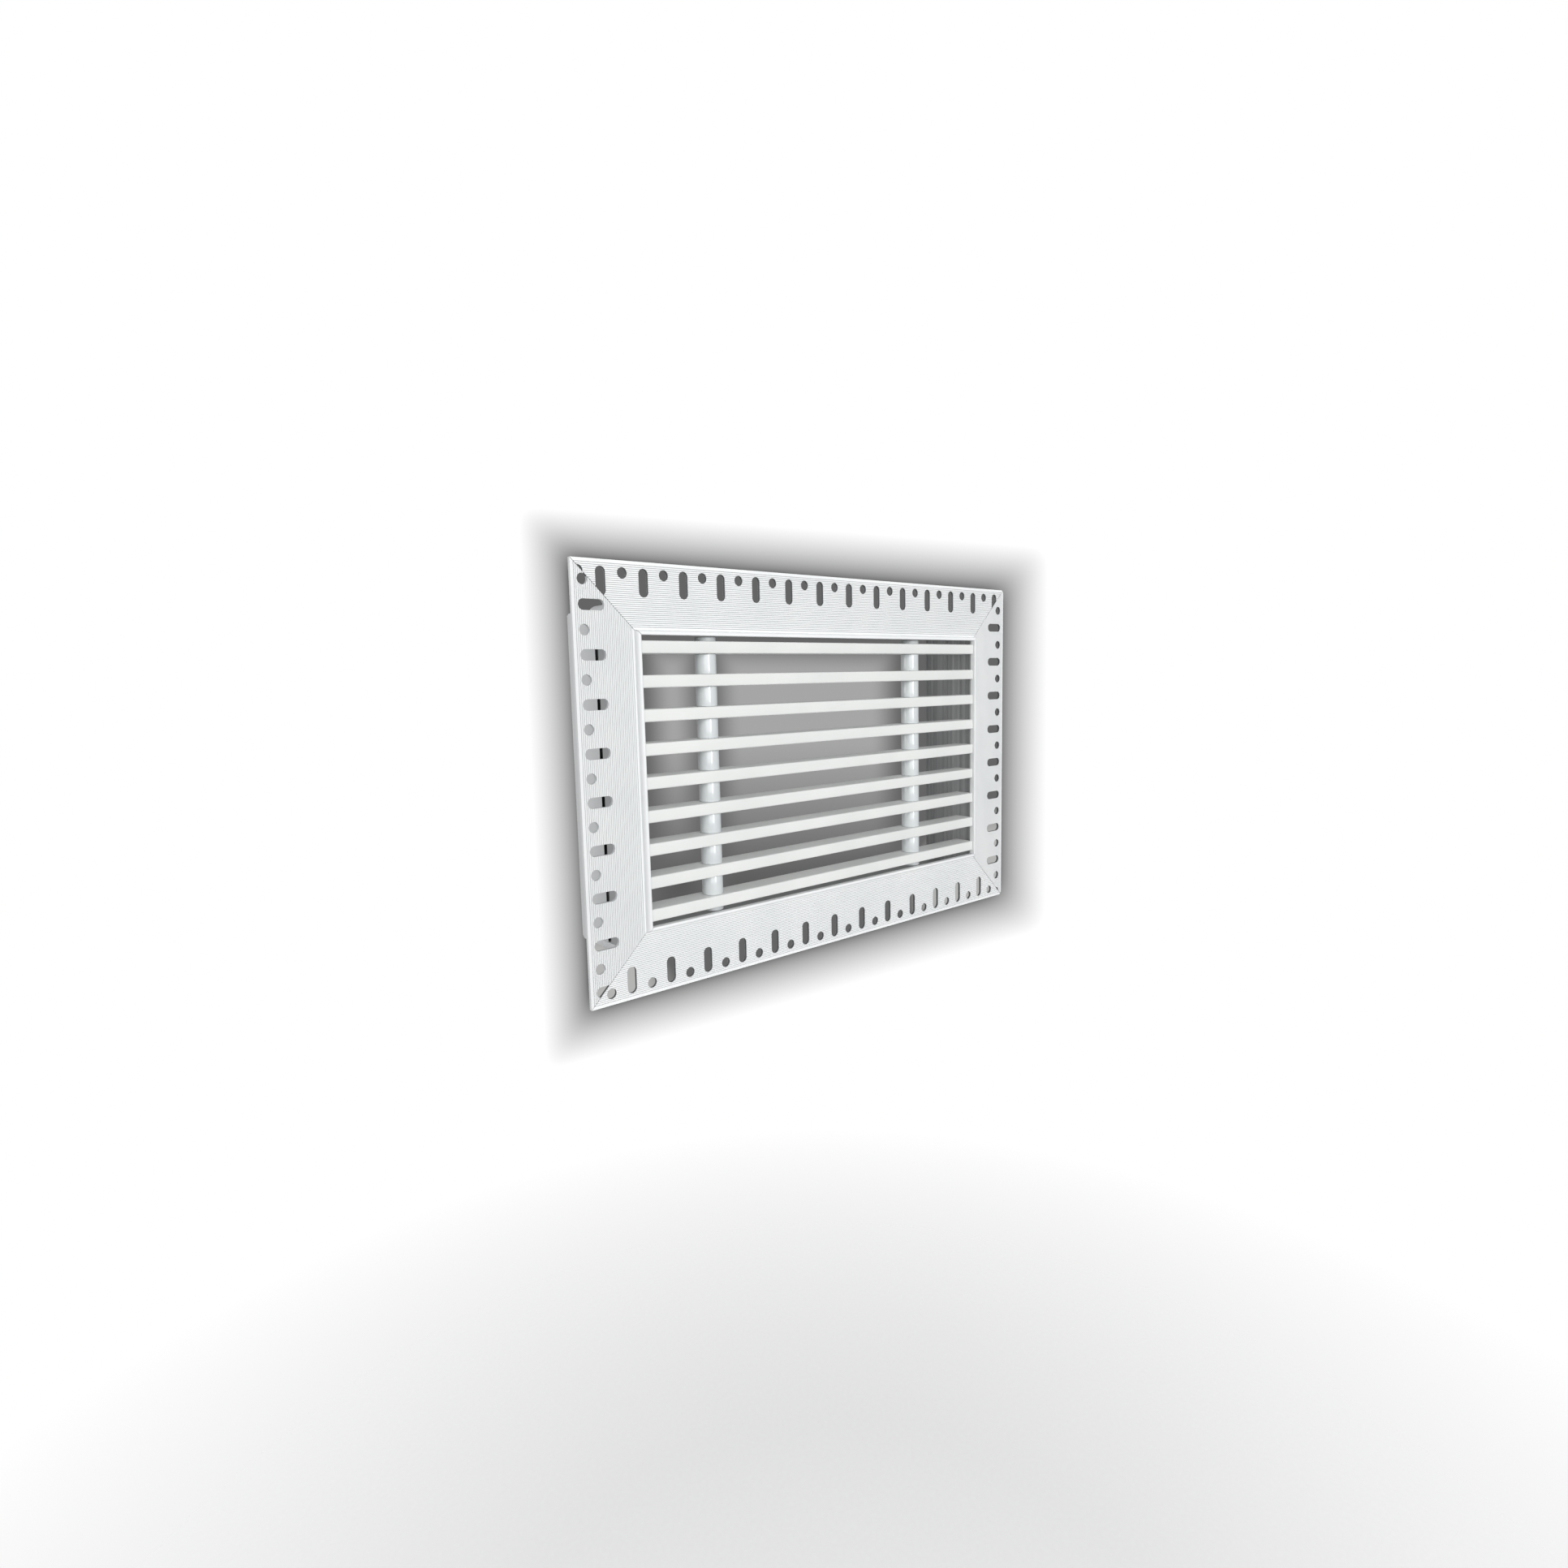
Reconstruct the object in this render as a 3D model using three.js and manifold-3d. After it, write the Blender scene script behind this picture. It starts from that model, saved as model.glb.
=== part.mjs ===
// Louvred air grille: a plaster-in frame of four mitred aluminium profiles with a perforated flange,
// and a core of nine fixed blades strung on two tie rods. Millimetres, +Z up, front face towards -Y.
// The origin is the middle of the flange's rear face, the face that lies on the wall.
import * as THREE from "three";
import { mergeVertices } from "three/addons/utils/BufferGeometryUtils.js";
import Module from "manifold-3d";

const wasm = await Module();
wasm.setup();

// ---- driving dimensions ----
const FRAME_WIDTH = 282;
const FRAME_HEIGHT = 185;
const FLANGE_WIDTH = 29.9; // outer edge to the inner edge of the lip
const FLANGE_THICKNESS = 1.5;
const LIP_WIDTH = 3;
const LIP_PROUD = 2.4; // the plaster stop stands this far in front of the flange
const LIP_INNER_ROUND = 0.4;
const LIP_FLAT = 1; // flat front of the lip, before it rolls down to the flange
const LIP_REAR_BEVEL = 0.9;
const NECK_REAR = 41.4; // depth of the neck behind the flange's rear face
const BOX_INNER = 7.2; // the key channel's box, measured outwards from the lip's inner edge
const BOX_OUTER = 13;
const BOX_REAR = 19.5;
const BOX_WALL = 1.2;
const SLIT_FRONT = 9.9; // the slit along the outside of the key channel
const SLIT_REAR = 12.6;
const TAIL_INNER = 9.7; // the single wall behind the box
const TAIL_OUTER = 11.2;
const TAIL_TAPER = 0.8;
const TAIL_TAPER_LENGTH = 3;
const PIECE_GAP = 0.3; // between pieces that meet

const HOLE_PITCH = 20; // slot to slot, with a round hole midway
const SLOT_FROM_EDGE = 8.6;
const SLOT_LENGTH = 11.8;
const SLOT_WIDTH = 4.6;
const ROUND_FROM_EDGE = 5;
const ROUND_DIAMETER = 4.6;
const CORNER_ROUND = 2; // the two right-hand outer corners of the flange
const ARC_STEPS = 8;
const LIP_ARC_STEPS = 2;
const LIP_ROLL_STEPS = 5;
const LATHE_SEGMENTS = 20;
const CUT_MARGIN = 1; // how far a cutting solid runs past what it cuts

// Where each side's rows of holes begin: distance from the frame's corner to the first hole's centre,
// and the number of holes. Top and bottom rows start at the left corner, the others at the top corner.
// The first or last hole of a row may be cut through by the mitre.
const TOP_SLOTS = { first: 13.2, count: 14 };
const TOP_ROUNDS = { first: 3.2, count: 14 };
const BOTTOM_SLOTS = { first: 19.8, count: 14 };
const BOTTOM_ROUNDS = { first: 9.8, count: 14 };
const LEFT_SLOTS = { first: 18.2, count: 9 };
const LEFT_ROUNDS = { first: 8.2, count: 9 };
const RIGHT_SLOTS = { first: 2.1, count: 10 };
const RIGHT_ROUNDS = { first: 12.1, count: 9 };

const KEY_LEG = 26; // from the corner block along each channel
const KEY_THICKNESS = 2.6;
const KEY_CORNER_RADIUS = 5;

const BLADE_COUNT = 9;
const BLADE_PITCH = 14.4;
const BLADE_HEIGHT = 5.4;
const BLADE_DEPTH = 12.2;
const BLADE_BEHIND_LIP = 1.2;
const BLADE_EDGE_RADIUS = 0.6;
const BLADE_EDGE_STEPS = 2;

const ROD_LEFT_X = -74;
const ROD_RIGHT_X = 63;
const ROD_DIAMETER = 4;
const ROD_HOLE_DIAMETER = 4.6;
const SPACER_DIAMETER = 9.6;
const SPACER_END_GAP = 0.05;
const BUTTON_HEIGHT = 2;
const BUTTON_ROUND = 0.5;
const BUTTON_WEB = 0.8; // what covers the rod's end inside a button

// ---- derived ----
const APERTURE_HALF_X = FRAME_WIDTH / 2 - FLANGE_WIDTH;
const APERTURE_HALF_Z = FRAME_HEIGHT / 2 - FLANGE_WIDTH;
const LIP_FRONT = -FLANGE_THICKNESS - LIP_PROUD;
const BLADE_FRONT = LIP_FRONT + BLADE_BEHIND_LIP;
const ROD_Y = BLADE_FRONT + BLADE_DEPTH / 2;
const BLADE_SPAN = (BLADE_COUNT - 1) * BLADE_PITCH;
const CORE_TOP = BLADE_SPAN / 2 + BLADE_HEIGHT / 2;

// ---- manifold helpers ----
// A closed three.js geometry as a solid.
function solidOf(geometry) {
  const bare = geometry.clone();
  bare.deleteAttribute("normal");
  bare.deleteAttribute("uv");
  const merged = mergeVertices(bare, 1e-4);
  const index = merged.index.array;
  return new wasm.Manifold(
    new wasm.Mesh({
      numProp: 3,
      vertProperties: new Float32Array(merged.attributes.position.array),
      triVerts: new Uint32Array(index),
    }),
  );
}

// A solid back as a three.js geometry.
function geometryOf(solid) {
  const mesh = solid.getMesh();
  const geometry = new THREE.BufferGeometry();
  geometry.setAttribute("position", new THREE.BufferAttribute(new Float32Array(mesh.vertProperties), 3));
  geometry.setIndex(new THREE.BufferAttribute(new Uint32Array(mesh.triVerts), 1));
  geometry.computeVertexNormals();
  return geometry;
}

// ---- outlines ----
function shapeOf(points) {
  return new THREE.Shape(points.map(([x, y]) => new THREE.Vector2(x, y)));
}

function extruded(points, length) {
  return new THREE.ExtrudeGeometry(shapeOf(points), { depth: length, bevelEnabled: false, steps: 1 });
}

// Points of an arc about a centre, from one angle to another in degrees, both ends included.
function arc(cx, cy, radius, from, to, steps) {
  const points = [];
  for (let i = 0; i <= steps; i += 1) {
    const angle = THREE.MathUtils.degToRad(from + ((to - from) * i) / steps);
    points.push([cx + radius * Math.cos(angle), cy + radius * Math.sin(angle)]);
  }
  return points;
}

// A slot outline centred at the origin, long along x.
function slotOutline(length, width) {
  const half = length / 2 - width / 2;
  return [
    ...arc(half, 0, width / 2, -90, 90, ARC_STEPS),
    ...arc(-half, 0, width / 2, 90, 270, ARC_STEPS),
  ];
}

// A rectangle with rounded corners, centred at the origin.
function roundedRectangle(width, height, radius, steps) {
  const x = width / 2 - radius;
  const y = height / 2 - radius;
  return [
    ...arc(x, y, radius, 0, 90, steps),
    ...arc(-x, y, radius, 90, 180, steps),
    ...arc(-x, -y, radius, 180, 270, steps),
    ...arc(x, -y, radius, 270, 360, steps),
  ];
}

// ---- frame profiles ----
// The lip's front rolls down to the flange along a quarter of an ellipse.
function lipRoll() {
  const across = LIP_WIDTH - LIP_FLAT;
  return arc(0, 0, 1, -90, 0, LIP_ROLL_STEPS).map(([x, y]) => [
    LIP_FLAT + across * x,
    LIP_PROUD * y - FLANGE_THICKNESS,
  ]);
}

// The section in its own axes: first number outwards from the lip's inner edge, second number depth.
function frameSection() {
  const flangeFront = -FLANGE_THICKNESS;
  const channelInner = BOX_INNER + BOX_WALL;
  const channelOuter = BOX_OUTER - BOX_WALL;
  const channelFront = BOX_WALL;
  const channelRear = BOX_REAR - BOX_WALL;
  return [
    [0, -LIP_REAR_BEVEL],
    ...arc(LIP_INNER_ROUND, LIP_FRONT + LIP_INNER_ROUND, LIP_INNER_ROUND, 180, 270, LIP_ARC_STEPS),
    ...lipRoll(),
    [FLANGE_WIDTH, flangeFront],
    [FLANGE_WIDTH, 0],
    [BOX_OUTER, 0],
    [BOX_OUTER, SLIT_FRONT],
    [channelOuter, SLIT_FRONT],
    [channelOuter, channelFront],
    [channelInner, channelFront],
    [channelInner, channelRear],
    [channelOuter, channelRear],
    [channelOuter, SLIT_REAR],
    [BOX_OUTER, SLIT_REAR],
    [BOX_OUTER, BOX_REAR],
    [TAIL_OUTER, BOX_REAR],
    [TAIL_OUTER, NECK_REAR - TAIL_TAPER_LENGTH],
    [TAIL_OUTER - TAIL_TAPER, NECK_REAR],
    [TAIL_INNER, NECK_REAR],
    [TAIL_INNER, BOX_REAR],
    [BOX_INNER, BOX_REAR],
    [BOX_INNER, 0],
    [LIP_REAR_BEVEL, 0],
  ];
}

// Turns a flat outline drawn as (outwards, along) into a prism through the depth from front to rear.
function acrossDepth(points, front, rear) {
  const turn = new THREE.Matrix4().makeBasis(
    new THREE.Vector3(1, 0, 0),
    new THREE.Vector3(0, 0, 1),
    new THREE.Vector3(0, -1, 0),
  );
  const prism = extruded(points, rear - front);
  prism.applyMatrix4(turn);
  prism.translate(0, rear, 0);
  return solidOf(prism);
}

// What a rounded outer corner leaves out, at the end of a side in the way given.
function outsideRoundCorner(halfLength, way) {
  const end = halfLength + FLANGE_WIDTH;
  const r = CORNER_ROUND;
  const outline = [
    ...arc(FLANGE_WIDTH - r, end - r, r, 0, 90, ARC_STEPS),
    [FLANGE_WIDTH - r, end + CUT_MARGIN],
    [FLANGE_WIDTH + CUT_MARGIN, end + CUT_MARGIN],
    [FLANGE_WIDTH + CUT_MARGIN, end - r],
  ].map(([x, z]) => [x, way * z]);
  return way > 0 ? outline.reverse() : outline;
}

// One side of the frame. Its own axes are x outwards, y depth and z along, with the aperture's
// half length given. Slots and round holes are listed by their positions along, from the middle,
// and the rounded corners by the ways along in which they lie.
function frameSide(halfLength, slots, rounds, roundedWays) {
  const reach = halfLength + FLANGE_WIDTH + CUT_MARGIN;
  const bar = extruded(frameSection(), 2 * reach);
  bar.translate(0, 0, -reach);
  let solid = solidOf(bar);

  // the 45 degree mitres, each set back by half the joint's gap
  const back = (PIECE_GAP / 2) * Math.SQRT2;
  const inner = -CUT_MARGIN;
  const outer = FLANGE_WIDTH + CUT_MARGIN;
  const trapezium = [
    [inner, -(halfLength + inner - back)],
    [outer, -(halfLength + outer - back)],
    [outer, halfLength + outer - back],
    [inner, halfLength + inner - back],
  ];
  solid = solid.intersect(acrossDepth(trapezium, LIP_FRONT - CUT_MARGIN, NECK_REAR + CUT_MARGIN));

  // the box stops short of each corner, where the corner key's block stands
  const blockStart = halfLength + BOX_INNER - PIECE_GAP;
  const blockEnd = halfLength + BOX_OUTER + CUT_MARGIN;
  for (const way of [-1, 1]) {
    const cut = [
      [BOX_INNER - PIECE_GAP, way * blockStart],
      [BOX_OUTER + PIECE_GAP, way * blockStart],
      [BOX_OUTER + PIECE_GAP, way * blockEnd],
      [BOX_INNER - PIECE_GAP, way * blockEnd],
    ];
    solid = solid.subtract(acrossDepth(way > 0 ? cut : cut.reverse(), 0, BOX_REAR + PIECE_GAP));
  }

  // the perforated flange
  const holeFront = -FLANGE_THICKNESS - CUT_MARGIN;
  const holeRear = CUT_MARGIN;
  for (const along of slots) {
    const outline = slotOutline(SLOT_LENGTH, SLOT_WIDTH);
    const placed = outline.map(([x, z]) => [x + FLANGE_WIDTH - SLOT_FROM_EDGE, z + along]);
    solid = solid.subtract(acrossDepth(placed, holeFront, holeRear));
  }
  for (const along of rounds) {
    const outline = arc(FLANGE_WIDTH - ROUND_FROM_EDGE, along, ROUND_DIAMETER / 2, 0, 360, 2 * ARC_STEPS);
    outline.pop();
    solid = solid.subtract(acrossDepth(outline, holeFront, holeRear));
  }
  for (const way of roundedWays) {
    solid = solid.subtract(acrossDepth(outsideRoundCorner(halfLength, way), holeFront, holeRear));
  }
  return solid;
}

// A row's positions from the middle of its side. The row starts at one end and runs the way given.
function pitched(row, length, way) {
  return Array.from({ length: row.count }, (_, i) => way * (row.first + i * HOLE_PITCH - length / 2));
}

// ---- corner keys ----
// An L of two flat legs that slide into neighbouring channels, joined by a block with a round corner.
// Drawn in the x-z plane for the upper right corner; the turn about Y gives the others.
function cornerKey() {
  const channelMiddle = (BOX_INNER + BOX_OUTER) / 2;
  const legInner = channelMiddle - KEY_THICKNESS / 2;
  const legOuter = channelMiddle + KEY_THICKNESS / 2;
  const r = KEY_CORNER_RADIUS;
  const outline = [
    [BOX_INNER, BOX_INNER],
    [legInner, BOX_INNER],
    [legInner, BOX_INNER - KEY_LEG],
    [legOuter, BOX_INNER - KEY_LEG],
    [legOuter, BOX_INNER],
    [BOX_OUTER, BOX_INNER],
    ...arc(BOX_OUTER - r, BOX_OUTER - r, r, 0, 90, ARC_STEPS),
    [BOX_INNER, BOX_OUTER],
    [BOX_INNER, legOuter],
    [BOX_INNER - KEY_LEG, legOuter],
    [BOX_INNER - KEY_LEG, legInner],
    [BOX_INNER, legInner],
  ];
  return outline;
}

// ---- core ----
function ringProfile(inner, outer, bottom, top) {
  return [
    [inner, bottom],
    [outer, bottom],
    [outer, top],
    [inner, top],
    [inner, bottom],
  ].map(([x, y]) => new THREE.Vector2(x, y));
}

function lathed(points, segments) {
  const geometry = new THREE.LatheGeometry(points, segments);
  geometry.rotateX(Math.PI / 2); // the lathe's axis from Y to Z
  return geometry;
}

// ---- assembly ----
const group = new THREE.Group();
group.name = "louvred_air_grille";

const WHITE_COAT = { color: 0xe9eae9, roughness: 0.42, metalness: 0 };
const BLADE_COAT = { color: 0xe7e8e6, roughness: 0.38, metalness: 0 };
const TUBE_COAT = { color: 0xe4e6e8, roughness: 0.25, metalness: 0 };
const KEY_METAL = { color: 0xb9bcc0, roughness: 0.45, metalness: 1 };
const ROD_METAL = { color: 0xc3c6ca, roughness: 0.35, metalness: 1 };
const BUTTON_PLASTIC = { color: 0xdfe1e1, roughness: 0.5, metalness: 0 };

function addMesh(name, geometry, look) {
  const mesh = new THREE.Mesh(geometry, new THREE.MeshStandardMaterial(look));
  mesh.name = name;
  group.add(mesh);
  return mesh;
}

const DEPTH = new THREE.Vector3(0, 1, 0);

// Each side: its outward direction, how far its lip is from the middle, its half length, its holes,
// and the ends where its outer corner is rounded.
// Positions run along the side's own z axis, which is outwards x depth.
const sides = [
  {
    name: "frame_top",
    outwards: new THREE.Vector3(0, 0, 1),
    offset: APERTURE_HALF_Z,
    half: APERTURE_HALF_X,
    slots: pitched(TOP_SLOTS, FRAME_WIDTH, -1),
    rounds: pitched(TOP_ROUNDS, FRAME_WIDTH, -1),
    rounded: [-1],
  },
  {
    name: "frame_bottom",
    outwards: new THREE.Vector3(0, 0, -1),
    offset: APERTURE_HALF_Z,
    half: APERTURE_HALF_X,
    slots: pitched(BOTTOM_SLOTS, FRAME_WIDTH, 1),
    rounds: pitched(BOTTOM_ROUNDS, FRAME_WIDTH, 1),
    rounded: [1],
  },
  {
    name: "frame_left",
    outwards: new THREE.Vector3(-1, 0, 0),
    offset: APERTURE_HALF_X,
    half: APERTURE_HALF_Z,
    slots: pitched(LEFT_SLOTS, FRAME_HEIGHT, 1),
    rounds: pitched(LEFT_ROUNDS, FRAME_HEIGHT, 1),
    rounded: [],
  },
  {
    name: "frame_right",
    outwards: new THREE.Vector3(1, 0, 0),
    offset: APERTURE_HALF_X,
    half: APERTURE_HALF_Z,
    slots: pitched(RIGHT_SLOTS, FRAME_HEIGHT, -1),
    rounds: pitched(RIGHT_ROUNDS, FRAME_HEIGHT, -1),
    rounded: [-1, 1],
  },
];

for (const side of sides) {
  const geometry = geometryOf(frameSide(side.half, side.slots, side.rounds, side.rounded));
  const along = new THREE.Vector3().crossVectors(side.outwards, DEPTH);
  geometry.applyMatrix4(new THREE.Matrix4().makeBasis(side.outwards, DEPTH, along));
  const shift = side.outwards.clone().multiplyScalar(side.offset);
  geometry.translate(shift.x, shift.y, shift.z);
  addMesh(side.name, geometry, WHITE_COAT);
}

const keyCorners = [
  ["corner_key_top_right", 1, 1],
  ["corner_key_top_left", -1, 1],
  ["corner_key_bottom_left", -1, -1],
  ["corner_key_bottom_right", 1, -1],
];
for (const [name, signX, signZ] of keyCorners) {
  const outline = cornerKey().map(([x, z]) => [
    signX * (APERTURE_HALF_X + x),
    signZ * (APERTURE_HALF_Z + z),
  ]);
  if (signX * signZ < 0) outline.reverse();
  const keyFront = PIECE_GAP + BOX_WALL;
  const keyRear = BOX_REAR - BOX_WALL - PIECE_GAP;
  // drawn in x and z: the same turn as the holes', which runs the extrusion from rear to front
  addMesh(name, geometryOf(acrossDepth(outline, keyFront, keyRear)), KEY_METAL);
}

const bladeLength = 2 * (APERTURE_HALF_X - PIECE_GAP);
const bladeSection = roundedRectangle(BLADE_DEPTH, BLADE_HEIGHT, BLADE_EDGE_RADIUS, BLADE_EDGE_STEPS);
for (let i = 0; i < BLADE_COUNT; i += 1) {
  const z = BLADE_SPAN / 2 - i * BLADE_PITCH;
  const bar = extruded(bladeSection, bladeLength);
  bar.translate(0, 0, -bladeLength / 2);
  // from (depth, up, along) to world: depth is Y, up is Z, so along is X
  bar.applyMatrix4(
    new THREE.Matrix4().makeBasis(
      new THREE.Vector3(0, 1, 0),
      new THREE.Vector3(0, 0, 1),
      new THREE.Vector3(1, 0, 0),
    ),
  );
  bar.translate(0, ROD_Y, z);
  let blade = solidOf(bar);
  for (const x of [ROD_LEFT_X, ROD_RIGHT_X]) {
    const drill = new THREE.CylinderGeometry(
      ROD_HOLE_DIAMETER / 2,
      ROD_HOLE_DIAMETER / 2,
      BLADE_HEIGHT + 2 * CUT_MARGIN,
      2 * ARC_STEPS,
    );
    drill.rotateX(Math.PI / 2);
    drill.translate(x, ROD_Y, z);
    blade = blade.subtract(solidOf(drill));
  }
  addMesh("blade_" + (i + 1), geometryOf(blade), BLADE_COAT);
}

const rods = [
  ["left", ROD_LEFT_X],
  ["right", ROD_RIGHT_X],
];
for (const [side, x] of rods) {
  // the rod's ends stop inside the end buttons
  const rodHalf = CORE_TOP + BUTTON_HEIGHT - BUTTON_WEB - PIECE_GAP;
  const rod = new THREE.CylinderGeometry(ROD_DIAMETER / 2, ROD_DIAMETER / 2, 2 * rodHalf, 2 * ARC_STEPS);
  rod.rotateX(Math.PI / 2);
  rod.translate(x, ROD_Y, 0);
  addMesh("tie_rod_" + side, rod, ROD_METAL);

  const spacerHalf = (BLADE_PITCH - BLADE_HEIGHT) / 2 - SPACER_END_GAP;
  for (let i = 0; i < BLADE_COUNT - 1; i += 1) {
    const z = BLADE_SPAN / 2 - (i + 0.5) * BLADE_PITCH;
    const ring = ringProfile(ROD_HOLE_DIAMETER / 2, SPACER_DIAMETER / 2, -spacerHalf, spacerHalf);
    const tube = lathed(ring, LATHE_SEGMENTS);
    tube.translate(x, ROD_Y, z);
    addMesh("spacer_" + side + "_" + (i + 1), tube, TUBE_COAT);
  }

  for (const [end, way] of [["top", 1], ["bottom", -1]]) {
    // a cup over the rod's end: open towards the blade, closed outside, with a rounded rim
    const r = SPACER_DIAMETER / 2;
    const hole = ROD_HOLE_DIAMETER / 2;
    const cup = [
      [0, BUTTON_HEIGHT - BUTTON_WEB],
      [hole, BUTTON_HEIGHT - BUTTON_WEB],
      [hole, SPACER_END_GAP],
      [r, SPACER_END_GAP],
      [r, BUTTON_HEIGHT - BUTTON_ROUND],
      [r - BUTTON_ROUND, BUTTON_HEIGHT],
      [0, BUTTON_HEIGHT],
    ].map(([px, py]) => new THREE.Vector2(px, py));
    const button = lathed(cup, LATHE_SEGMENTS);
    if (way < 0) button.rotateX(Math.PI);
    button.translate(x, ROD_Y, way * CORE_TOP);
    addMesh("end_button_" + side + "_" + end, button, BUTTON_PLASTIC);
  }
}

export default group;
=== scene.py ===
# %% [markdown]
# # A plaster-in air grille
# The grille is a frame of four aluminium profiles with mitred corners, and a core of nine straight
# blades that hang together on two rods. Everything is white powder coat, so the forms are told apart
# by their edges, ribs and shadows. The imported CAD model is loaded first. It fixes where every piece is.

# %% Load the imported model
import bpy
import bmesh
import math
from mathutils import Matrix, Vector


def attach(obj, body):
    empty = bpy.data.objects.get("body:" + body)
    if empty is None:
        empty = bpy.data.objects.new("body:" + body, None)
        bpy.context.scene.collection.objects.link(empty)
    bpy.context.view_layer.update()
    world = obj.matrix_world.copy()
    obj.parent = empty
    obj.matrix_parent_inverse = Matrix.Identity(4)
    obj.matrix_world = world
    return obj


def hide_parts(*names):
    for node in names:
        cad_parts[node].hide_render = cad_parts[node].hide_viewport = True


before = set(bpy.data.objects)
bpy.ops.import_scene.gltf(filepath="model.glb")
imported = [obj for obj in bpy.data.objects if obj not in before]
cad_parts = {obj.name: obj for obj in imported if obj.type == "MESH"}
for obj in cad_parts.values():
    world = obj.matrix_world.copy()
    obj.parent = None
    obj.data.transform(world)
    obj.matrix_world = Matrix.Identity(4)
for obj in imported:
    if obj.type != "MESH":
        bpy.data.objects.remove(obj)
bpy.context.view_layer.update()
MM = 0.001

# %% [markdown]
# ## The camera
# The camera stands close to the grille, a little above its middle and well to the left, with a wide
# lens. That is why the left end looms and the right end shrinks away. The turn is built from the
# direction in which the camera looks and the direction that is up in its view.

# %% Camera
CAMERA_AT = Vector((-0.3067, -0.3243, 0.0432))
CAMERA_LOOKS = Vector((0.6415, 0.7579, -0.1187)).normalized()
CAMERA_UP = Vector((0.0932, 0.0765, 0.9927))
LENS_MM = 20.25
SENSOR_MM = 36.0

camera_right = CAMERA_LOOKS.cross(CAMERA_UP).normalized()
camera_top = camera_right.cross(CAMERA_LOOKS).normalized()
camera_turn = Matrix((camera_right, camera_top, -CAMERA_LOOKS)).transposed()
camera_data = bpy.data.cameras.new("camera")
camera_data.lens = LENS_MM
camera_data.sensor_width = SENSOR_MM
camera_data.clip_start = 0.01
camera_data.clip_end = 100
camera = bpy.data.objects.new("camera", camera_data)
camera.matrix_world = Matrix.Translation(CAMERA_AT) @ camera_turn.to_4x4()
bpy.context.scene.collection.objects.link(camera)
bpy.context.scene.camera = camera
print("camera is", round(CAMERA_AT.length, 3), "m from the grille's middle")

# %% [markdown]
# ## One helper for graphs
# A material and a Geometry Nodes tree are both graphs of nodes. One function adds a node, sets its
# settings and fills its inputs. An input that is given a socket becomes a link, and a list of sockets
# becomes several links. It hands back the node's first open output, which is nearly always the one
# that goes on. The other function turns the sRGB hex colours that people write down into the linear
# numbers that a shader works in.

# %% Helpers for nodes and colours
def add_node(tree, kind, inputs=None, **settings):
    node = tree.nodes.new(kind)
    for name, value in settings.items():
        setattr(node, name, value)
    for key, value in (inputs or {}).items():
        if isinstance(value, bpy.types.NodeSocket):
            tree.links.new(value, node.inputs[key])
        elif isinstance(value, list):
            for socket in value:
                tree.links.new(socket, node.inputs[key])
        else:
            node.inputs[key].default_value = value
    return next((output for output in node.outputs if output.enabled), None)


def linear(hex_colour):
    parts = [int(hex_colour[i:i + 2], 16) / 255 for i in (1, 3, 5)]
    curve = [p / 12.92 if p <= 0.04045 else ((p + 0.055) / 1.055) ** 2.4 for p in parts]
    return (*curve, 1.0)


print("white coat in linear light:", [round(c, 3) for c in linear("#ECEDEC")])

# %% [markdown]
# ## Where the profile's marks lie
# The material of the frame follows the shape of its profile, so the sizes of the profile come first.
# They are in millimetres: outwards from the lip's inner edge, and depth behind the wall's surface.
# The ribs are counted from the first land, and the grooves lie between the lands.

# %% Sizes of the profile
FLANGE_WIDTH = 29.9
FLANGE_FRONT, LIP_FRONT = -1.5, -3.9
LIP_WIDTH, LIP_FLAT = 2.1, 0.7
BOX_INNER, BOX_OUTER, BOX_REAR, BOX_WALL = 7.2, 13.0, 19.5, 1.2
SLIT = (9.9, 12.6)
TAIL_INNER, TAIL_OUTER, NECK_REAR = 9.7, 11.2, 41.4
TAIL_TAPER, TAIL_TAPER_LENGTH = 0.8, 3.0
EDGE_ROUND = 0.35
OUTER_CORNER_ROUND = 2.0

RIB_PITCH, RIB_LAND, RIB_DEPTH = 0.84, 0.52, 0.26
RIB_COUNT, RIB_FIRST = 31, 2.5
FIRST_GROOVE = RIB_FIRST + (RIB_LAND + RIB_PITCH) / 2
RIB_BAND_HALF = RIB_COUNT * RIB_PITCH / 2
RIB_BAND_MIDDLE = RIB_FIRST + RIB_BAND_HALF
print("ribs fill", RIB_COUNT * RIB_PITCH, "mm of the flange's", FLANGE_WIDTH)

# %% [markdown]
# ## Powder coat
# Powder coat is dry polyester powder that is sprayed on and baked. It flows into a satin skin with a
# fine orange-peel ripple, about 0.7 mm from crest to crest and a few microns deep. Under it the
# extruded bar has die lines, which run its whole length. So the material has three patterns: a ripple
# in the bump, streaks that are long in one direction, and a slow cloud of tone a few centimetres wide.
# The patterns read Object coordinates in metres.

# %% Powder coat
ORANGE_PEEL_MM = 0.7
DIE_LINE_MM = 0.4
DIE_LINE_STRETCH = 0.012
CLOUD_MM = 35.0
POLYESTER_IOR = 1.5


def new_material(name):
    material = bpy.data.materials.new(name)
    material.use_nodes = True
    material.node_tree.nodes.clear()
    tree = material.node_tree
    return material, tree, add_node(tree, "ShaderNodeTexCoord").node.outputs["Object"]


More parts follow.
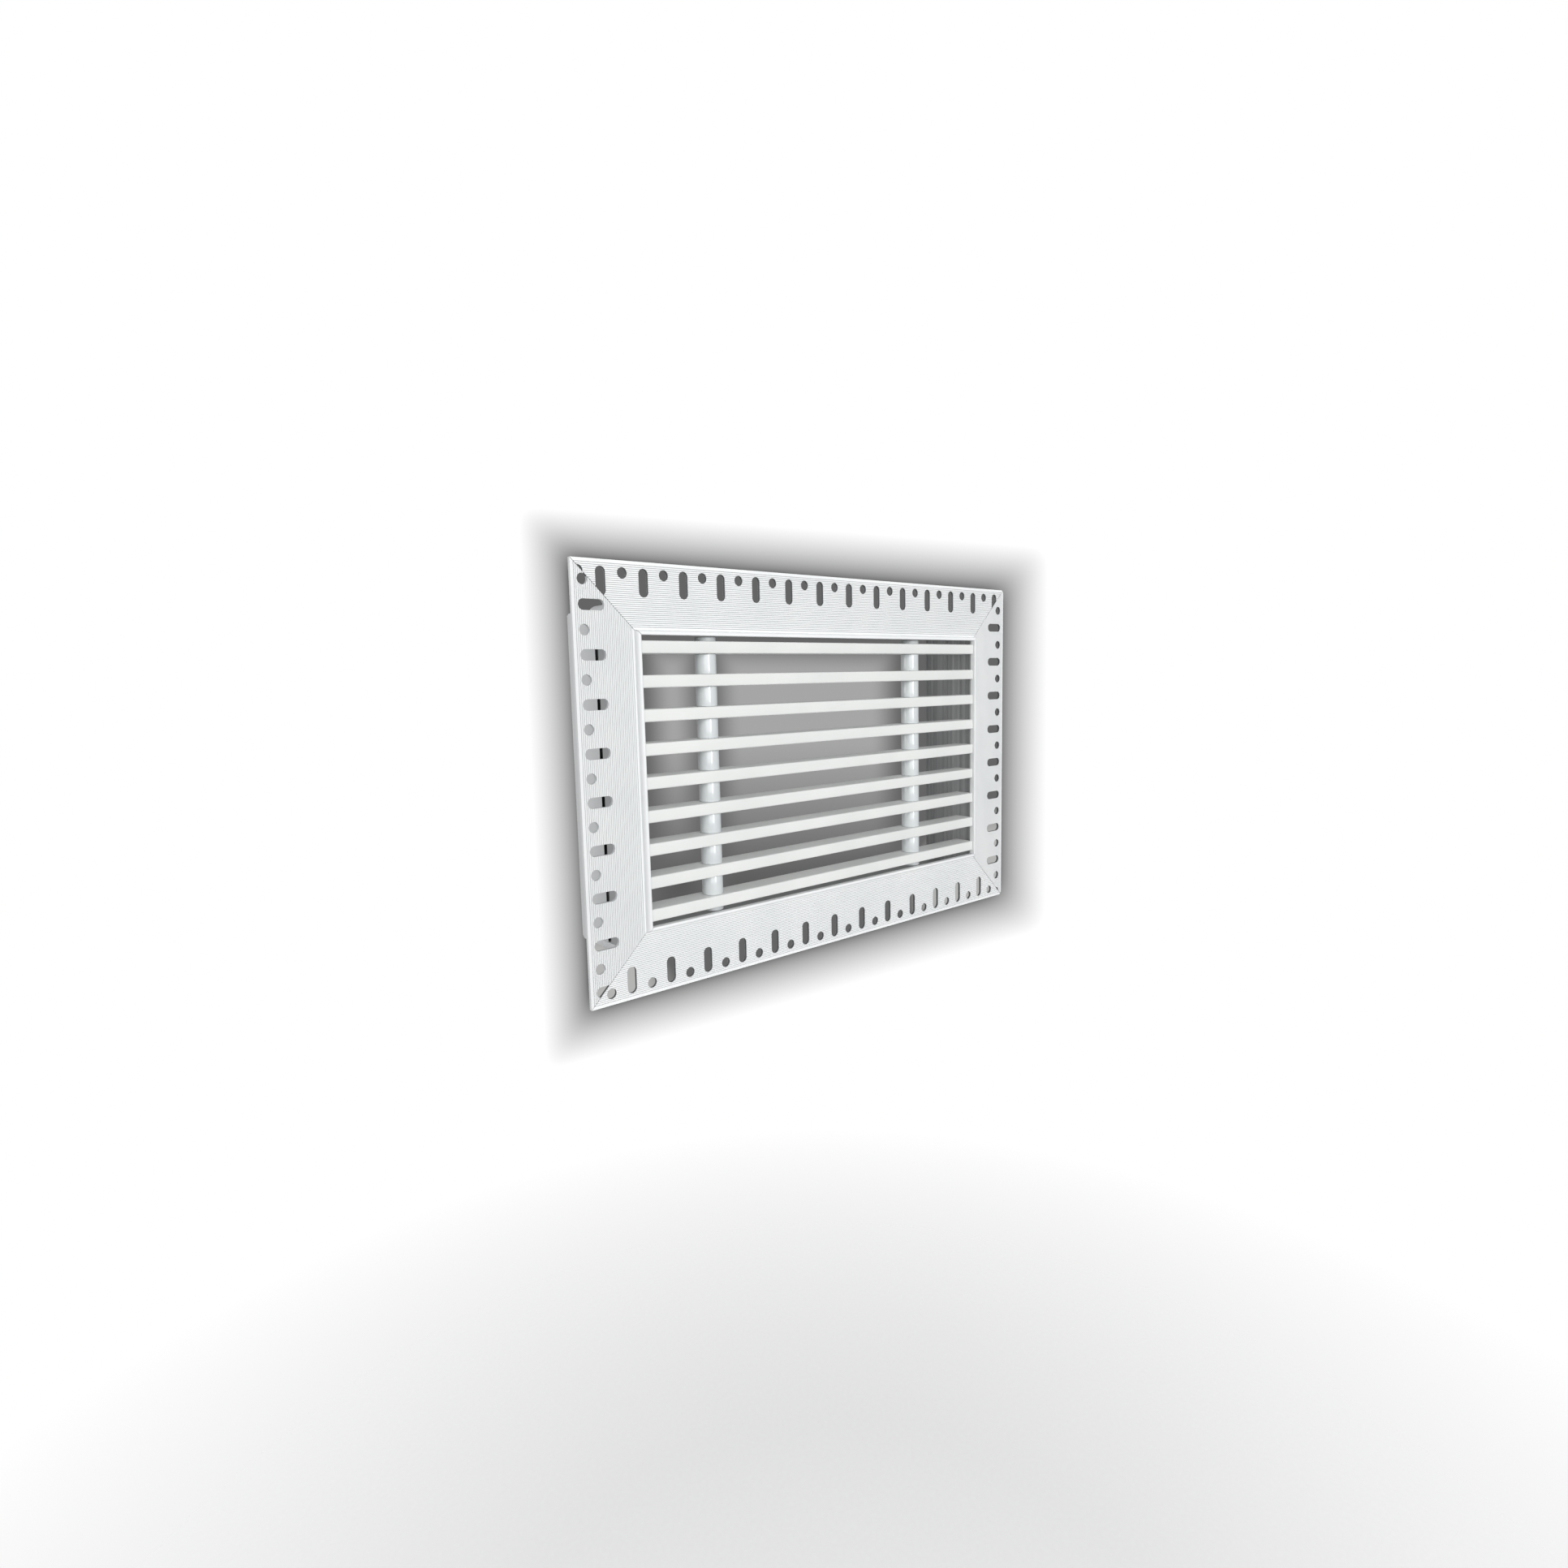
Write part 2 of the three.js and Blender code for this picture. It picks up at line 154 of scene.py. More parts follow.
def powder_coat(name, light, shade, roughness, run_axis, wall_coat_and_shade_tones=None, edge_tone=None):
    """White coat between two tones. run_axis is the one the bar runs along: 0 for X, 2 for Z."""
    material, tree, place = new_material(name)
    stretch = tuple(DIE_LINE_STRETCH if axis == run_axis else 1.0 for axis in range(3))
    along = add_node(tree, "ShaderNodeMapping", {"Vector": place, "Scale": stretch})
    cloud = add_node(
        tree, "ShaderNodeTexNoise", {"Vector": place, "Scale": 1 / (CLOUD_MM * MM), "Detail": 3.0})
    line = add_node(
        tree, "ShaderNodeTexNoise", {"Vector": along, "Scale": 1 / (DIE_LINE_MM * MM), "Detail": 2.0})
    peel = add_node(
        tree, "ShaderNodeTexNoise", {"Vector": place, "Scale": 1 / (ORANGE_PEEL_MM * MM), "Detail": 1.0})

    cloudy = add_node(tree, "ShaderNodeMapRange", {"Value": cloud, "From Min": 0.3, "From Max": 0.7})
    lined = add_node(
        tree, "ShaderNodeMapRange", {"Value": line, "From Min": 0.35, "From Max": 0.7, "To Max": 0.3})
    tone = add_node(
        tree, "ShaderNodeMix", {0: cloudy, 6: linear(shade), 7: linear(light)}, data_type="RGBA")
    tone = add_node(tree, "ShaderNodeMix", {0: lined, 6: tone, 7: linear(shade)}, data_type="RGBA")
    if wall_coat_and_shade_tones:
        tone = profile_marks(tree, tone, wall_coat_and_shade_tones, edge_tone, stretch)
    rough = add_node(
        tree, "ShaderNodeMapRange",
        {"Value": line, "From Min": 0.3, "From Max": 0.7, "To Min": roughness - 0.05,
         "To Max": roughness + 0.05})
    lines = add_node(tree, "ShaderNodeBump", {"Height": line, "Strength": 0.15, "Distance": 0.00004})
    ripple = add_node(
        tree, "ShaderNodeBump", {"Height": peel, "Strength": 0.3, "Distance": 0.00003, "Normal": lines})
    shader = add_node(
        tree, "ShaderNodeBsdfPrincipled",
        {"Base Color": tone, "Roughness": rough, "Normal": ripple, "IOR": POLYESTER_IOR})
    add_node(tree, "ShaderNodeOutputMaterial", {"Surface": shader})
    return material

# %% [markdown]
# ### Marks that follow the profile
# The ribs' grooves hold a little dust, and they are darkened with painted shade as well. Charged
# powder is drawn to edges and hardly gets into recesses, so the coat thins on the walls round the
# opening, where the steps and ridges left by the die show as streaks; these walls also darken with
# depth, which is painted shade. The outside of the box gets a painted shadow near the flange. The coat
# never reaches the inside of the key channel, which stays bare; its near-black tone, also on the
# slit's sides, is painted shade. The punch comes after the coat, so the edges of the holes are bare
# and dull as well; their tones are painted shade on three sides and painted light on the left.
# The tree that punches the flange stores each point's place in the profile as an attribute in
# millimetres. The marks are drawn from that, so they stay true on all four sides.

# %% Dust, thin coat and bare channel, with painted shade
# share and tone of the dark in the rib grooves: dust and painted shade
RIB_DUST_AND_SHADE_SHARE = 0.6
WALL_STREAK_MM = 1.8
RIB_DUST_AND_SHADE_TONE = "#9EA1A2"
# the key channel's tone: bare metal, made near black with painted shade
CHANNEL_SHADE_TONE = "#17191B"
# hole edges: bare metal, with painted shade on three sides and painted light on the left
SHADED_EDGE, LIT_EDGE = "#5C5E60", "#C2C5C7"
# how dark the painted shadow of the flange makes the outside of the box
FLANGE_SHADOW_FACTOR = 0.55
# depth and tone: a full coat on the lip, a thin one on the box, and a thinner one down the neck;
# the grey of the box and the neck is partly painted shade that darkens with depth
THIN_COAT_AND_SHADE = ((4.0, "#F5F5F5"), (6.0, "#AAAAAA"), (BOX_REAR, "#AAAAAA"), (NECK_REAR, "#888888"))
# the same on the bottom wall, darker from its first millimetre: painted shade under the blades
BOTTOM_COAT_AND_SHADE = ((0.0, "#F5F5F5"), (1.0, "#B0B0B0"), (NECK_REAR, "#9C9C9C"))


def profile_marks(tree, tone, wall_coat_and_shade_tones, edge_tone, stretch):
    profile = add_node(tree, "ShaderNodeAttribute", attribute_name="profile_mm").node.outputs["Vector"]
    outwards, depth, _ = add_node(tree, "ShaderNodeSeparateXYZ", {"Vector": profile}).node.outputs

    # dust and painted shade in the rib grooves
    from_first = add_node(tree, "ShaderNodeMath", {0: outwards, 1: FIRST_GROOVE}, operation="SUBTRACT")
    from_groove = add_node(tree, "ShaderNodeMath", {0: from_first, 1: RIB_PITCH / 2}, operation="PINGPONG")
    groove = add_node(
        tree, "ShaderNodeMapRange",
        {"Value": from_groove, "From Min": 0.06, "From Max": 0.2, "To Min": RIB_DUST_AND_SHADE_SHARE, "To Max": 0.0})
    in_band = add_node(
        tree, "ShaderNodeMath", {0: outwards, 1: RIB_BAND_MIDDLE, 2: RIB_BAND_HALF}, operation="COMPARE")
    in_front = add_node(
        tree, "ShaderNodeMath", {0: depth, 1: FLANGE_FRONT, 2: 1.02 * RIB_DEPTH}, operation="COMPARE")
    on_ribs = add_node(tree, "ShaderNodeMath", {0: in_band, 1: in_front}, operation="MULTIPLY")
    dust_and_shade = add_node(tree, "ShaderNodeMath", {0: groove, 1: on_ribs}, operation="MULTIPLY")
    tone = add_node(tree, "ShaderNodeMix", {0: dust_and_shade, 6: tone, 7: linear(RIB_DUST_AND_SHADE_TONE)}, data_type="RGBA")

    # the walls round the opening: a thin coat, and painted shade that darkens with depth
    wall = add_node(
        tree, "ShaderNodeMapRange",
        {"Value": depth, "From Min": BOX_REAR - 0.3, "From Max": BOX_REAR + 0.2,
         "To Min": BOX_INNER + 0.4, "To Max": TAIL_INNER + 0.25})
    on_wall = add_node(tree, "ShaderNodeMath", {0: outwards, 1: wall}, operation="LESS_THAN")
    behind = add_node(tree, "ShaderNodeMath", {0: depth, 1: 0.1}, operation="GREATER_THAN")
    thinned_and_shaded = add_node(tree, "ShaderNodeMath", {0: on_wall, 1: behind}, operation="MULTIPLY")
    part = add_node(tree, "ShaderNodeMath", {0: depth, 1: NECK_REAR}, operation="DIVIDE")
    coat = add_node(tree, "ShaderNodeValToRGB", {0: part})
    stops = coat.node.color_ramp.elements
    stops.remove(stops[1])
    for i, (at, hex_colour) in enumerate(wall_coat_and_shade_tones):
        stop = stops[0] if i == 0 else stops.new(at / NECK_REAR)
        stop.position = at / NECK_REAR
        stop.color = linear(hex_colour)
    along = add_node(
        tree, "ShaderNodeMapping",
        {"Vector": add_node(tree, "ShaderNodeTexCoord").node.outputs["Object"], "Scale": stretch})
    streak = add_node(
        tree, "ShaderNodeTexNoise", {"Vector": along, "Scale": 1 / (WALL_STREAK_MM * MM), "Detail": 1.0})
    streaked = add_node(
        tree, "ShaderNodeMapRange",
        {"Value": streak, "From Min": 0.38, "From Max": 0.62, "To Min": 1.08, "To Max": 0.86})
    coat = add_node(
        tree, "ShaderNodeMix", {0: 1.0, 6: coat, 7: streaked}, data_type="RGBA", blend_type="MULTIPLY")
    tone = add_node(
        tree, "ShaderNodeMix", {0: thinned_and_shaded, 6: tone, 7: coat}, data_type="RGBA", blend_type="MULTIPLY")

    # painted shadow of the flange on the outside of the box, darkest nearest the flange
    on_outside = add_node(
        tree, "ShaderNodeMath", {0: outwards, 1: BOX_OUTER - 0.1}, operation="GREATER_THAN")
    on_box = add_node(tree, "ShaderNodeMath", {0: on_outside, 1: behind}, operation="MULTIPLY")
    flange_shadow_ramp = add_node(
        tree, "ShaderNodeMapRange",
        {"Value": depth, "From Min": SLIT[0], "From Max": SLIT[1], "To Min": FLANGE_SHADOW_FACTOR, "To Max": 1.0})
    flange_shadow = add_node(
        tree, "ShaderNodeMix", {0: on_box, 6: (1.0, 1.0, 1.0, 1.0), 7: flange_shadow_ramp}, data_type="RGBA")
    tone = add_node(
        tree, "ShaderNodeMix", {0: 1.0, 6: tone, 7: flange_shadow}, data_type="RGBA", blend_type="MULTIPLY")

    # each hollow is a middle and half a width outwards, then the same in depth, and a tone
    hollows = (
        # the key channel and the slit's sides: bare metal, near black with painted shade
        ((BOX_INNER + BOX_OUTER) / 2, (BOX_OUTER - BOX_INNER) / 2 - BOX_WALL + 0.02,
         BOX_REAR / 2, BOX_REAR / 2 - BOX_WALL + 0.02, CHANNEL_SHADE_TONE),
        (BOX_OUTER - BOX_WALL / 2, BOX_WALL / 2 - 0.05,
         (SLIT[0] + SLIT[1]) / 2, (SLIT[1] - SLIT[0]) / 2 + 0.02, CHANNEL_SHADE_TONE),
        # the holes' edges: bare metal, with painted shade or painted light by side
        ((BOX_OUTER + FLANGE_WIDTH) / 2, (FLANGE_WIDTH - BOX_OUTER) / 2 - 0.4,
         (FLANGE_FRONT + RIB_DEPTH) / 2, (-FLANGE_FRONT - RIB_DEPTH) / 2 - 0.03, edge_tone),
    )
    for out_middle, out_half, deep_middle, deep_half, hollow_tone in hollows:
        across = add_node(
            tree, "ShaderNodeMath", {0: outwards, 1: out_middle, 2: out_half}, operation="COMPARE")
        within = add_node(
            tree, "ShaderNodeMath", {0: depth, 1: deep_middle, 2: deep_half}, operation="COMPARE")
        inside = add_node(tree, "ShaderNodeMath", {0: across, 1: within}, operation="MULTIPLY")
        tone = add_node(
            tree, "ShaderNodeMix", {0: inside, 6: tone, 7: linear(hollow_tone)}, data_type="RGBA")
    return tone


WHITE, OFF_WHITE = "#F1F2F2", "#E9EBEC"
# the left and right sides are a shade darker: painted shade that evens out the lamp light their upright ribs
# catch
SIDE_SHADED_WHITE, SIDE_SHADED_OFF_WHITE = "#E7E8E8", "#DFE1E2"
coat_top = powder_coat("polyester_powder_coat_top", WHITE, OFF_WHITE, 0.42, 0, THIN_COAT_AND_SHADE, SHADED_EDGE)
coat_bottom = powder_coat(
    "polyester_powder_coat_bottom", WHITE, OFF_WHITE, 0.42, 0, BOTTOM_COAT_AND_SHADE, SHADED_EDGE)
coat_left = powder_coat(
    "polyester_powder_coat_left", SIDE_SHADED_WHITE, SIDE_SHADED_OFF_WHITE, 0.42, 2, THIN_COAT_AND_SHADE, LIT_EDGE)
coat_right = powder_coat(
    "polyester_powder_coat_right", SIDE_SHADED_WHITE, SIDE_SHADED_OFF_WHITE, 0.42, 2, THIN_COAT_AND_SHADE, SHADED_EDGE)
blade_coat = powder_coat("polyester_powder_coat_blades", "#E5E6E4", "#DCDEDC", 0.36, 0)
key_coat = powder_coat("polyester_powder_coat_on_casting", "#F1F2F2", "#E6E8E9", 0.5, 2)
print("coats:", [m.name for m in bpy.data.materials if m.name.startswith("poly")])

# %% [markdown]
# ## Lacquer, zinc and nylon
# The spacer tubes are glossier than the blades: a wet lacquer, which levels out flat, over drawn
# tube. It gets a clear coat, faint streaks along the tube and hardly any ripple. The rods are steel
# with bright zinc, a metal with the default IOR and a spangle of small crystals. The end buttons are
# moulded nylon, with a soft mottled sheen.

# %% Lacquer, zinc and nylon
SPANGLE_MM = 1.2
TUBE_STREAK_MM = 0.8
TUBE_STRETCH = 0.03


def streaked_lacquer():
    material, tree, place = new_material("white_lacquer_on_drawn_tube")
    along = add_node(tree, "ShaderNodeMapping", {"Vector": place, "Scale": (1.0, 1.0, TUBE_STRETCH)})
    streak = add_node(
        tree, "ShaderNodeTexNoise", {"Vector": along, "Scale": 1 / (TUBE_STREAK_MM * MM), "Detail": 2.0})
    cloud = add_node(tree, "ShaderNodeTexNoise", {"Vector": place, "Scale": 160.0, "Detail": 2.0})
    tone = add_node(
        tree, "ShaderNodeMix", {0: cloud, 6: linear("#C8CDCF"), 7: linear("#D6DADB")}, data_type="RGBA")
    rough = add_node(
        tree, "ShaderNodeMapRange",
        {"Value": streak, "From Min": 0.3, "From Max": 0.7, "To Min": 0.26, "To Max": 0.36})
    level = add_node(tree, "ShaderNodeBump", {"Height": streak, "Strength": 0.12, "Distance": 0.00005})
    shader = add_node(
        tree, "ShaderNodeBsdfPrincipled",
        {"Base Color": tone, "Roughness": rough, "Coat Weight": 0.8, "Coat Roughness": 0.04,
         "Normal": level, "IOR": POLYESTER_IOR})
    add_node(tree, "ShaderNodeOutputMaterial", {"Surface": shader})
    return material


def bright_zinc():
    material, tree, place = new_material("bright_zinc_on_steel")
    crystal = add_node(
        tree, "ShaderNodeTexVoronoi", {"Vector": place, "Scale": 1 / (SPANGLE_MM * MM)}).node.outputs["Color"]
    grey = add_node(tree, "ShaderNodeSeparateColor", {"Color": crystal}, mode="RGB")
    tone = add_node(
        tree, "ShaderNodeMix", {0: grey, 6: linear("#B7BABE"), 7: linear("#CDD0D3")}, data_type="RGBA")
    rough = add_node(tree, "ShaderNodeMapRange", {"Value": grey, "To Min": 0.28, "To Max": 0.42})
    scratch = add_node(tree, "ShaderNodeTexNoise", {"Vector": place, "Scale": 3300.0, "Detail": 3.0})
    bump = add_node(tree, "ShaderNodeBump", {"Height": scratch, "Strength": 0.2, "Distance": 0.00003})
    shader = add_node(
        tree, "ShaderNodeBsdfPrincipled",
        {"Base Color": tone, "Metallic": 1.0, "Roughness": rough, "Normal": bump})
    add_node(tree, "ShaderNodeOutputMaterial", {"Surface": shader})
    return material


def moulded_nylon():
    material, tree, place = new_material("grey_moulded_nylon")
    flow = add_node(tree, "ShaderNodeTexNoise", {"Vector": place, "Scale": 330.0, "Detail": 3.0})
    grain = add_node(tree, "ShaderNodeTexNoise", {"Vector": place, "Scale": 4000.0, "Detail": 2.0})
    tone = add_node(
        tree, "ShaderNodeMix", {0: flow, 6: linear("#A6A9AB"), 7: linear("#B8BBBC")}, data_type="RGBA")
    rough = add_node(
        tree, "ShaderNodeMapRange",
        {"Value": flow, "From Min": 0.3, "From Max": 0.7, "To Min": 0.38, "To Max": 0.5})
    bump = add_node(tree, "ShaderNodeBump", {"Height": grain, "Strength": 0.25, "Distance": 0.00002})
    shader = add_node(
        tree, "ShaderNodeBsdfPrincipled", {"Base Color": tone, "Roughness": rough, "IOR": 1.53,
        "Normal": bump})
    add_node(tree, "ShaderNodeOutputMaterial", {"Surface": shader})
    return material


spacer_lacquer = streaked_lacquer()
rod_zinc = bright_zinc()
button_nylon = moulded_nylon()
print("small parts:", spacer_lacquer.name, rod_zinc.name, button_nylon.name)

# %% [markdown]
# ## The section of a frame profile
# All four sides are cut from one extruded bar, and an extrusion is fully told by its section. It is
# drawn here in millimetres with two numbers for each corner: outwards from the lip's inner edge, and
# depth behind the wall's surface. The lip in front stops the plaster, the flange lies on the board,
# a box behind holds the corner keys, with a slit along its outside, and a single wall runs on back
# into the duct. Shallow steps and grooves on the inside are the marks that an extrusion die leaves.

# %% Section of the profile
def arc(cx, cy, radius_x, radius_y, start, end, steps):
    """Points on an ellipse's arc, with the angles in degrees."""
    angles = [math.radians(start + (end - start) * i / steps) for i in range(steps + 1)]
    return [(cx + radius_x * math.cos(a), cy + radius_y * math.sin(a)) for a in angles]


def rounded(cx, cy, start):
    """A quarter turn of the small radius that every outside edge of the extrusion has."""
    return arc(cx, cy, EDGE_ROUND, EDGE_ROUND, start, start + 90, 3)


def groove(x, y, deep, wide):
    """A V groove in a wall that faces the aperture, met from the rear."""
    return [(x, y + wide / 2), (x + deep, y), (x, y - wide / 2)]


def ridge(x, rear, front, high, slope):
    """A flat ridge on the same wall, also met from the rear."""
    return [(x, rear), (x - high, rear - slope), (x - high, front + slope), (x, front)]


def flange_columns():
    """Corners across the ribbed front: two ends of each land, and the groove's bottom."""
    columns = []
    for i in range(RIB_COUNT):
        land = RIB_FIRST + i * RIB_PITCH
        columns += [land, land + RIB_LAND, land + (RIB_LAND + RIB_PITCH) / 2]
    columns.append(RIB_FIRST + RIB_COUNT * RIB_PITCH)
    return columns


def corner_columns():
    """Corners close to the outer edge, where an outer corner may be rounded."""
    r = OUTER_CORNER_ROUND
    return [FLANGE_WIDTH - r + r * math.sin(math.radians(a)) for a in (45, 55, 65, 75, 83)]


edge = EDGE_ROUND
section = (
    [(0.9, 0), (0, -0.9)]
    + arc(0.4, LIP_FRONT + 0.4, 0.4, 0.4, 180, 270, 4)
    + arc(LIP_FLAT, FLANGE_FRONT, LIP_WIDTH - LIP_FLAT, FLANGE_FRONT - LIP_FRONT, -90, 0, 12)
    + [(x, FLANGE_FRONT) for x in flange_columns() + corner_columns()]
    + [(FLANGE_WIDTH, FLANGE_FRONT + 0.15), (FLANGE_WIDTH, 0)]
    + [(x, 0) for x in reversed(corner_columns())]
    + [(BOX_OUTER, 0), (BOX_OUTER, SLIT[0]), (BOX_OUTER - BOX_WALL, SLIT[0])]
    + [(BOX_OUTER - BOX_WALL, BOX_WALL), (BOX_INNER + BOX_WALL, BOX_WALL)]
    + [(BOX_INNER + BOX_WALL, BOX_REAR - BOX_WALL), (BOX_OUTER - BOX_WALL, BOX_REAR - BOX_WALL)]
    + [(BOX_OUTER - BOX_WALL, SLIT[1]), (BOX_OUTER, SLIT[1])]
    + rounded(BOX_OUTER - edge, BOX_REAR - edge, 0)
    + [(TAIL_OUTER, BOX_REAR), (TAIL_OUTER, NECK_REAR - TAIL_TAPER_LENGTH)]
    + [(TAIL_OUTER - TAIL_TAPER, NECK_REAR), (TAIL_INNER + 0.2, NECK_REAR), (TAIL_INNER, NECK_REAR - 0.2)]
    + groove(TAIL_INNER, 40.0, 0.25, 0.6)
    + ridge(TAIL_INNER, 38.6, 34.6, 0.3, 0.5)
    + ridge(TAIL_INNER, 26.8, 23.8, 0.4, 0.6)
    + [(TAIL_INNER, BOX_REAR)]
    + rounded(BOX_INNER + edge, BOX_REAR - edge, 90)
    + groove(BOX_INNER, 16.6, 0.18, 0.7)
    + groove(BOX_INNER, 12.4, 0.18, 0.7)
    + groove(BOX_INNER, 8.0, 0.18, 0.7)
    + [(BOX_INNER, 0)]
)
print("the section has", len(section), "corners")

# %% [markdown]
# ## Mitred blanks
# A blank is that section drawn out straight. Its ends are mitred by pushing each corner's end as far
# along as the corner lies outwards, which is just what a 45 degree cut leaves. No cutting is needed.
# At the two right-hand corners of the frame the last millimetres follow a small round instead.

# %% Blanks
HALF_X = 111.1
HALF_Z = 62.6
JOINT_GAP = 0.22


def reach(half, x, is_rounded):
    """How far along a corner at x outwards reaches, from the middle of the side."""
    r = OUTER_CORNER_ROUND
    inside = FLANGE_WIDTH - r
    mitre = half + x - JOINT_GAP / 2 * math.sqrt(2)
    if not is_rounded or x < inside + r * math.sin(math.radians(45)):
        return mitre
    turn = math.sqrt(max(r * r - (x - inside) ** 2, 0))
    return min(mitre, half + inside + turn - JOINT_GAP / 2)


def mesh_of(bm, name):
    bmesh.ops.recalc_face_normals(bm, faces=bm.faces)
    mesh = bpy.data.meshes.new(name)
    bm.to_mesh(mesh)
    bm.free()
    return mesh


def object_of(mesh, name):
    made = bpy.data.objects.new(name, mesh)
    bpy.context.scene.collection.objects.link(made)
    return made


def blank(name, half, start_rounded, end_rounded):
    bm = bmesh.new()
    rings = [
        [bm.verts.new((x, y, way * reach(half, x, is_rounded))) for x, y in section]
        for way, is_rounded in ((-1, start_rounded), (1, end_rounded))
    ]
    count = len(section)
    for i in range(count):
        j = (i + 1) % count
        bm.faces.new((rings[0][i], rings[0][j], rings[1][j], rings[1][i]))
    bm.faces.new(rings[0])
    bm.faces.new(list(reversed(rings[1])))
    return object_of(mesh_of(bm, name), name)


# %% [markdown]
# ## Ribs and holes with Geometry Nodes
# In the works the bar comes out of the die with its ribs, and a press then punches slots and round
# holes in turn, 20 mm from slot to slot. The tree does the same. First it sinks every third column of
# corners to make the rib grooves. Then it sets cutters along two rows and takes them away from the
# bar with one Mesh Boolean. The slot's cutter is a round one pulled apart at its middle. Two blocks
# clear the box at both ends, where the corner keys stand. A number goes in for every size.

# %% Tree that ribs and punches a blank
CUTTER_SIDES = 26
CUTTER_LENGTH = 6.0
POCKET_MARGIN = 0.3


def new_tree(name, sizes):
    """An empty tree with a geometry in and out, and one named number input for each size."""
    tree = bpy.data.node_groups.new(name, "GeometryNodeTree")
    tree.interface.new_socket("Geometry", in_out="INPUT", socket_type="NodeSocketGeometry")
    tree.interface.new_socket("Geometry", in_out="OUTPUT", socket_type="NodeSocketGeometry")
    for size in sizes:
        kind = "NodeSocketInt" if size.endswith("Count") else "NodeSocketFloat"
        tree.interface.new_socket(size, in_out="INPUT", socket_type=kind)
    return tree, add_node(tree, "NodeGroupInput").node.outputs


def finish_tree(tree, geometry, material):
    real = add_node(tree, "GeometryNodeRealizeInstances", {"Geometry": geometry})
    coated = add_node(tree, "GeometryNodeSetMaterial", {"Geometry": real, "Material": material})
    add_node(tree, "NodeGroupOutput", {"Geometry": coated})


def row_along_z(tree, thing, x, first, step, count):
    """A copy of the thing at each point of a row."""
    start = add_node(tree, "ShaderNodeCombineXYZ", {"X": x, "Z": first})
    offset = add_node(tree, "ShaderNodeCombineXYZ", {"Z": step})
    line = add_node(
        tree, "GeometryNodeMeshLine", {"Count": count, "Start Location": start, "Offset": offset},
        mode="OFFSET")
    return add_node(tree, "GeometryNodeInstanceOnPoints", {"Points": line, "Instance": thing})


def round_punch(tree, diameter):
    """A cylinder that lies along Y."""
    radius = add_node(tree, "ShaderNodeMath", {0: diameter, 1: 2.0}, operation="DIVIDE")
    cylinder = add_node(
        tree, "GeometryNodeMeshCylinder", {"Vertices": CUTTER_SIDES, "Radius": radius,
        "Depth": CUTTER_LENGTH})
    return add_node(tree, "GeometryNodeTransform", {"Geometry": cylinder, "Rotation": (math.pi / 2, 0, 0)})


def slot_punch(tree, length, width):
    """A round punch whose two halves are pulled apart along X."""
    place = add_node(tree, "ShaderNodeSeparateXYZ", {"Vector": add_node(tree, "GeometryNodeInputPosition")})
    side = add_node(tree, "ShaderNodeMath", {0: place}, operation="SIGN")
    longer = add_node(tree, "ShaderNodeMath", {0: length, 1: width}, operation="SUBTRACT")
    each_way = add_node(tree, "ShaderNodeMath", {0: longer, 1: 2.0}, operation="DIVIDE")
    pull = add_node(tree, "ShaderNodeMath", {0: side, 1: each_way}, operation="MULTIPLY")
    offset = add_node(tree, "ShaderNodeCombineXYZ", {"X": pull})
    return add_node(
        tree, "GeometryNodeSetPosition", {"Geometry": round_punch(tree, width), "Offset": offset})


def key_pocket(tree, half, way):
    """The block that clears the box where a corner key stands, at one end of a side."""
    near, far = half + BOX_INNER - POCKET_MARGIN, half + FLANGE_WIDTH
    low_x, high_x = BOX_INNER - POCKET_MARGIN, BOX_OUTER + POCKET_MARGIN
    depth = BOX_REAR + POCKET_MARGIN
    cube = add_node(tree, "GeometryNodeMeshCube", {"Size": (high_x - low_x, depth, far - near)})
    middle = ((low_x + high_x) / 2, depth / 2, way * (near + far) / 2)
    return add_node(tree, "GeometryNodeTransform", {"Geometry": cube, "Translation": middle})


def sunk_grooves(tree, geometry, pitch, depth, first):
    """Every corner of the flange's front that lies in a groove's middle goes down by its depth."""
    position = add_node(tree, "GeometryNodeInputPosition")
    outwards, behind, _ = add_node(tree, "ShaderNodeSeparateXYZ", {"Vector": position}).node.outputs
    from_first = add_node(tree, "ShaderNodeMath", {0: outwards, 1: first}, operation="SUBTRACT")
    half_pitch = add_node(tree, "ShaderNodeMath", {0: pitch, 1: 2.0}, operation="DIVIDE")
    from_groove = add_node(tree, "ShaderNodeMath", {0: from_first, 1: half_pitch}, operation="PINGPONG")
    in_groove = add_node(tree, "ShaderNodeMath", {0: from_groove, 1: 0.05}, operation="LESS_THAN")
    in_band = add_node(
        tree, "ShaderNodeMath", {0: outwards, 1: RIB_BAND_MIDDLE, 2: RIB_BAND_HALF}, operation="COMPARE")
    on_front = add_node(tree, "ShaderNodeMath", {0: behind, 1: FLANGE_FRONT, 2: 0.01}, operation="COMPARE")
    on_ribs = add_node(tree, "ShaderNodeMath", {0: in_band, 1: on_front}, operation="MULTIPLY")
    chosen = add_node(tree, "ShaderNodeMath", {0: in_groove, 1: on_ribs}, operation="MULTIPLY")
    down = add_node(tree, "ShaderNodeCombineXYZ", {"Y": depth})
    return add_node(
        tree, "GeometryNodeSetPosition", {"Geometry": geometry, "Selection": chosen, "Offset": down})


